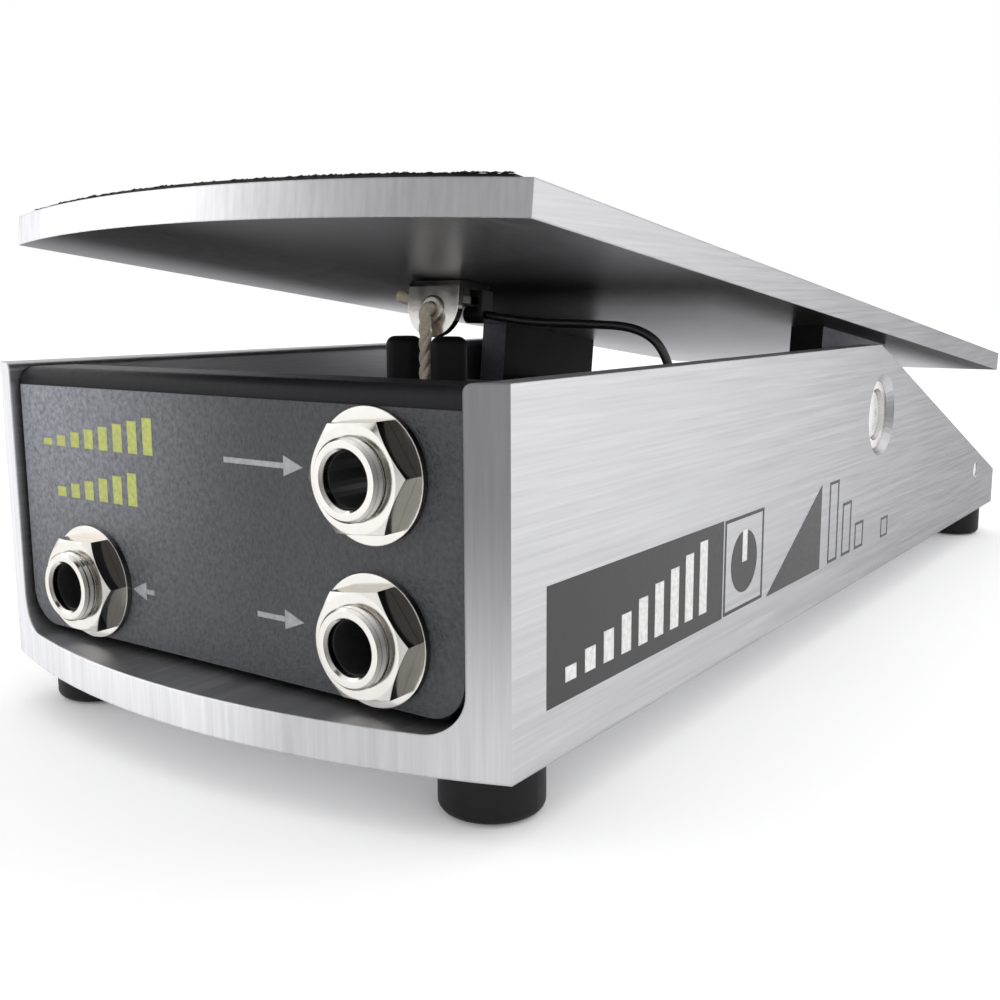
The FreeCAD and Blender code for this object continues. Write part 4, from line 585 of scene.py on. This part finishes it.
def make_spring(materials):
    """The tension spring as a wound wire with a hook at each end."""
    low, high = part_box("tension_spring")
    middle = (low.x + high.x) / 2
    post_low, post_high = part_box("spring_post")
    eye_low, eye_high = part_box("spring_eyelet")
    rear = Vector((middle, (post_low.y + post_high.y) / 2, (post_low.z + post_high.z) / 2))
    slope = (eye_low.z + eye_high.z) / 2 - rear.z
    run = (eye_low.y + eye_high.y) / 2 - rear.y
    front_y = low.y + HOOK_PLACE
    front = Vector((middle, front_y, rear.z + slope / run * (front_y - rear.y)))
    along = (rear - front).normalized()
    across = Vector((1, 0, 0))
    up = across.cross(along)
    if up.z < 0:
        up = -up
    wound = (rear - front).length - 2 * SPRING_END
    line = []
    for k in range(HOOK_STEPS + 1):
        angle = math.pi * (-HOOK_START + HOOK_TURN * k / HOOK_STEPS)
        line.append(ring_point(front, -along, up, HOOK_RADIUS, angle))
    steps = int(wound / SPRING_PITCH) * COIL_STEPS
    for k in range(steps + 1):
        place = front + along * (SPRING_END + wound * (k / steps))
        line.append(ring_point(place, up, across, SPRING_COIL, math.tau * k / COIL_STEPS))
    for k in range(HOOK_STEPS + 1):
        angle = math.pi * (0.5 - HOOK_TURN * k / HOOK_STEPS)
        line.append(ring_point(rear, along, up, HOOK_RADIUS, angle))
    points, faces = tube_mesh([line], SPRING_WIRE, 7)
    made = add_mesh("coil_spring", points, faces, materials["spring_steel"], smooth=True)
    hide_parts("tension_spring")
    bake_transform(made)


# ----------------------------------------------------------------- marks

INK_MM = 0.05
PALE_INK_MM = 0.08
SUNK_MM = 0.02
DISC_SIDES = 40


def flat_shape(points, thickness, to_frame):
    """A thin raised shape from a flat outline, as points and faces."""
    count = len(points)
    low = [to_frame(x, y, 0.0) for x, y in points]
    high = [to_frame(x, y, thickness) for x, y in points]
    faces = [tuple(range(count)), tuple(range(2 * count - 1, count - 1, -1))]
    faces += [(k, (k + 1) % count, count + (k + 1) % count, count + k) for k in range(count)]
    return low + high, faces


def add_marks(name, outlines, material, thickness, to_frame):
    """Several flat shapes printed on a face, as one piece that rides on the chassis."""
    points, faces = [], []
    for outline in outlines:
        more, sides = flat_shape(outline, thickness, to_frame)
        faces += [tuple(k + len(points) for k in face) for face in sides]
        points += more
    made = add_mesh(name, points, faces, material)
    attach(made, "base")
    return made


def bar(x0, y0, x1, y1):
    """An upright rectangle."""
    return [(x0, y0), (x1, y0), (x1, y1), (x0, y1)]


def framed(x0, y0, x1, y1, line):
    """The four sides of an outlined box."""
    return [
        bar(x0, y0, x1, y0 + line),
        bar(x0, y1 - line, x1, y1),
        bar(x0, y0 + line, x0 + line, y1 - line),
        bar(x1 - line, y0 + line, x1, y1 - line),
    ]


def disc(x, y, radius):
    """A round outline."""
    turns = [math.tau * k / DISC_SIDES for k in range(DISC_SIDES)]
    return [(x + radius * math.cos(a), y + radius * math.sin(a)) for a in turns]


def make_marks(materials):
    """Plain shapes in place of the printed marks: bars, arrows, a wedge, a knob and boxes."""
    side_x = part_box("chassis")[1].x
    face_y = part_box("panel_overlay")[0].y

    def on_side(y, z, out):
        return Vector((side_x + (out - SUNK_MM) * MM, y * MM, z * MM))

    def on_panel(x, z, out):
        return Vector((x * MM, face_y - (out - SUNK_MM) * MM, z * MM))

    dark = [bar(-97.4, 13.4, -51.6, 27.5)]
    dark += framed(-51.1, 13.5, -37.2, 27.4, 0.5)
    dark += [disc(-44.15, 20.45, 4.6)]
    dark += [[(-35.4, 13.2), (-12.5, 13.2), (-12.5, 27.5)]]
    add_marks("side_marks", dark, materials["ink_and_shade_black"], INK_MM, on_side)
    pale = []
    for k in range(9):
        left = -93.6 + 4.3 * k
        pale.append(bar(left, 15.6, left + 2.4, 17.4 + 1.05 * k))
    pale.append(bar(-45.0, 20.4, -43.3, 25.2))
    add_marks("side_pale_marks", pale, materials["ink_pale"], PALE_INK_MM, on_side)
    outline = framed(-8.6, 13.3, -4.0, 27.4, 0.5) + framed(-1.6, 13.3, 3.0, 22.8, 0.5)
    outline += framed(5.4, 13.3, 10.0, 18.2, 0.5)
    outline += framed(20.6, 12.9, 24.8, 16.8, 0.45)
    add_marks("side_outlined_marks", outline, materials["ink_and_shade_black"], INK_MM, on_side)

    lime = []
    for k in range(8):
        left = -34.1 + 3.05 * k
        lime.append(bar(left, 38.6, left + 1.9, 39.6 + 0.55 * k))
    for k in range(6):
        left = -31.6 + 3.05 * k
        lime.append(bar(left, 31.6, left + 1.9, 33.0 + 0.6 * k))
    add_marks("panel_level_marks", lime, materials["ink_lime"], INK_MM, on_panel)
    grey = [bar(2.4, 38.8, 12.6, 39.5), [(12.6, 37.9), (15.8, 39.15), (12.6, 40.4)]]
    grey += [bar(7.3, 20.2, 12.0, 20.9), [(12.0, 19.3), (15.2, 20.55), (12.0, 21.8)]]
    grey += [bar(-13.6, 20.0, -12.0, 20.7), [(-13.6, 19.1), (-13.6, 21.6), (-16.4, 20.35)]]
    add_marks("panel_jack_marks", grey, materials["ink_grey"], INK_MM, on_panel)


# ----------------------------------------------------------------- bores

SLEEVE_INSET = 0.0008
SLEEVE_GAP = 0.00002
SLEEVE_SHORTER = 0.001
SLEEVE_INNER = 0.97
SLEEVE_SIDES = 32


def make_bore_shade(materials):
    """Painted shade: dark sleeves inside the jacks' bores, where the light doesn't reach."""
    for mount in frame["record"]["mounts"]:
        if mount["kind"] != "bore":
            continue
        mouth = Vector(mount["pos_m"]) + Vector((0, SLEEVE_INSET, 0))
        outer = mount["dims"]["r_mm"] * MM - SLEEVE_GAP
        inner = outer * SLEEVE_INNER
        depth = mount["dims"]["length_mm"] * MM - SLEEVE_SHORTER
        right, up, inward = Vector((1, 0, 0)), Vector((0, 0, 1)), Vector((0, 1, 0))
        points, faces = [], []
        for ring, (y, r) in enumerate([(0, outer), (depth, outer), (depth, inner), (0, inner)]):
            here, over = ring * SLEEVE_SIDES, (ring + 1) % 4 * SLEEVE_SIDES
            for k in range(SLEEVE_SIDES):
                turn = math.tau * k / SLEEVE_SIDES
                points.append(ring_point(mouth + inward * y, right, up, r, turn))
                after = (k + 1) % SLEEVE_SIDES
                faces.append((here + k, over + k, over + after, here + after))
        # painted shade: a dark sleeve in the black of the printed marks
        bore_shade = add_mesh(f"{mount['name']}_sleeve", points, faces, materials["ink_and_shade_black"])
        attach(bore_shade, "base")


# ------------------------------------------------------------------ grit

FRONT_GRAINS = 420
SHEET_GRAINS = 9000
GRAIN_SIDES = 5
SMALLEST_GRAIN = 0.0003
FRONT_ARC = 0.0065
FRONT_MARGIN = 0.0003
FRONT_BAND = 0.0006
SIDE_MARGIN = 0.0005
BACK_MARGIN = 0.0006


def make_grit(materials):
    """Coarse grains over the grip sheet, with an extra row along its front edge."""
    low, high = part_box("tread_grip")
    sheet = nodes["tread_grip"].data
    top = max(sheet.polygons, key=lambda p: p.area * (p.normal.z > 0.5))
    normal = top.normal.copy()
    anchor = sheet.vertices[top.vertices[0]].co.copy()
    across, back = Vector((1, 0, 0)), Vector((0, 1, 0))
    chooser = random.Random(7)
    half = high.x
    points, faces = [], []

    def add_grain(x, y, size):
        z = anchor.z - (normal.x * (x - anchor.x) + normal.y * (y - anchor.y)) / normal.z
        centre = Vector((x, y, z))
        start = len(points)
        peak = start + GRAIN_SIDES
        turn = chooser.uniform(0, math.pi)
        for k in range(GRAIN_SIDES):
            angle = turn + math.tau * k / GRAIN_SIDES
            reach = size * chooser.uniform(0.6, 1.2)
            points.append(ring_point(centre, across, back, reach, angle))
            faces.append((start + k, start + (k + 1) % GRAIN_SIDES, peak))
        points.append(centre + normal * size * chooser.uniform(0.15, 0.45))
        faces.append(tuple(range(peak - 1, start - 1, -1)))

    def front_edge(x):
        return low.y + FRONT_MARGIN + FRONT_ARC * (x / half) ** 2

    for k in range(FRONT_GRAINS):
        x = -half + 2 * half * (k + chooser.random()) / FRONT_GRAINS
        y = front_edge(x) + chooser.uniform(0, FRONT_BAND)
        add_grain(x, y, chooser.uniform(SMALLEST_GRAIN, 0.0006))
    for _ in range(SHEET_GRAINS):
        x = chooser.uniform(-half + SIDE_MARGIN, half - SIDE_MARGIN)
        y = chooser.uniform(front_edge(x) + SIDE_MARGIN, high.y - BACK_MARGIN)
        add_grain(x, y, chooser.uniform(SMALLEST_GRAIN, 0.0007))
    made = add_mesh("grit_grains", points, faces, materials["grit_sheet"])
    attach(made, "treadle")


# ----------------------------------------------------------------- stage

FLOOR_HEIGHT = -0.0002
FLOOR_GLOW = 0.1


def plain(name, color):
    """A plain stage material with a trace of variation."""
    made = Shader(name, color, 0.9)
    made.tint(made.noise(3, 1), 0.99, 1.01)
    return made.material


def add_card(name, centre, facing, size, material):
    """A flat stage card that faces a point."""
    bpy.ops.mesh.primitive_plane_add(size=1, location=centre)
    card = bpy.context.object
    card.name = name
    card.scale = (size[0], size[1], 1)
    card.rotation_mode = "QUATERNION"
    card.rotation_quaternion = (Vector(facing) - Vector(centre)).to_track_quat("Z", "Y")
    card.data.materials.append(material)


def add_light(name, centre, facing, size, power):
    """A soft area light that faces a point."""
    data = bpy.data.lights.new(name, "AREA")
    data.shape = "RECTANGLE"
    data.size, data.size_y = size
    data.energy = power
    light = bpy.data.objects.new(name, data)
    bpy.context.scene.collection.objects.link(light)
    light.location = centre
    light.rotation_mode = "QUATERNION"
    light.rotation_quaternion = (Vector(facing) - Vector(centre)).to_track_quat("-Z", "Y")


def make_stage():
    """A white floor, white surroundings, soft lights and a dark card for the metal to reflect."""
    white = plain("floor", (0.98, 0.98, 0.98))
    glow = white.node_tree.nodes["Principled BSDF"].inputs
    glow["Emission Color"].default_value = (1, 1, 1, 1)
    glow["Emission Strength"].default_value = FLOOR_GLOW
    add_card("floor", (0, 0, FLOOR_HEIGHT), (0, 0, 1), (8, 8), white)
    dark = plain("dark_card", (0.02, 0.02, 0.02))
    add_card("front_card", (-0.05, -0.75, 0.75), (0, 0, 0.05), (0.4, 0.3), dark)
    bpy.context.scene.view_settings.view_transform = "Standard"
    world = bpy.data.worlds.new("surroundings")
    bpy.context.scene.world = world
    world.use_nodes = True
    sky = world.node_tree.nodes["Background"].inputs
    sky["Color"].default_value = (1, 1, 1, 1)
    sky["Strength"].default_value = 1.0
    middle = (0, 0, 0.03)
    add_light("left_softbox", (-0.9, -0.5, 0.5), middle, (0.8, 0.8), 1.2)
    add_light("back_softbox", (0.7, 0.7, 0.5), middle, (0.7, 0.9), 1.2)
    add_light("top_softbox", (0.1, 0.1, 1.2), middle, (0.9, 0.9), 1.5)


# ----------------------------------------------------------------- scene

make_camera()
materials = make_materials()
make_cords(materials)
make_wraps(materials)
make_spring(materials)
for name, part in nodes.items():
    part.data.materials.clear()
    part.data.materials.append(materials[slots[name]])
make_marks(materials)
make_bore_shade(materials)
make_grit(materials)
make_stage()
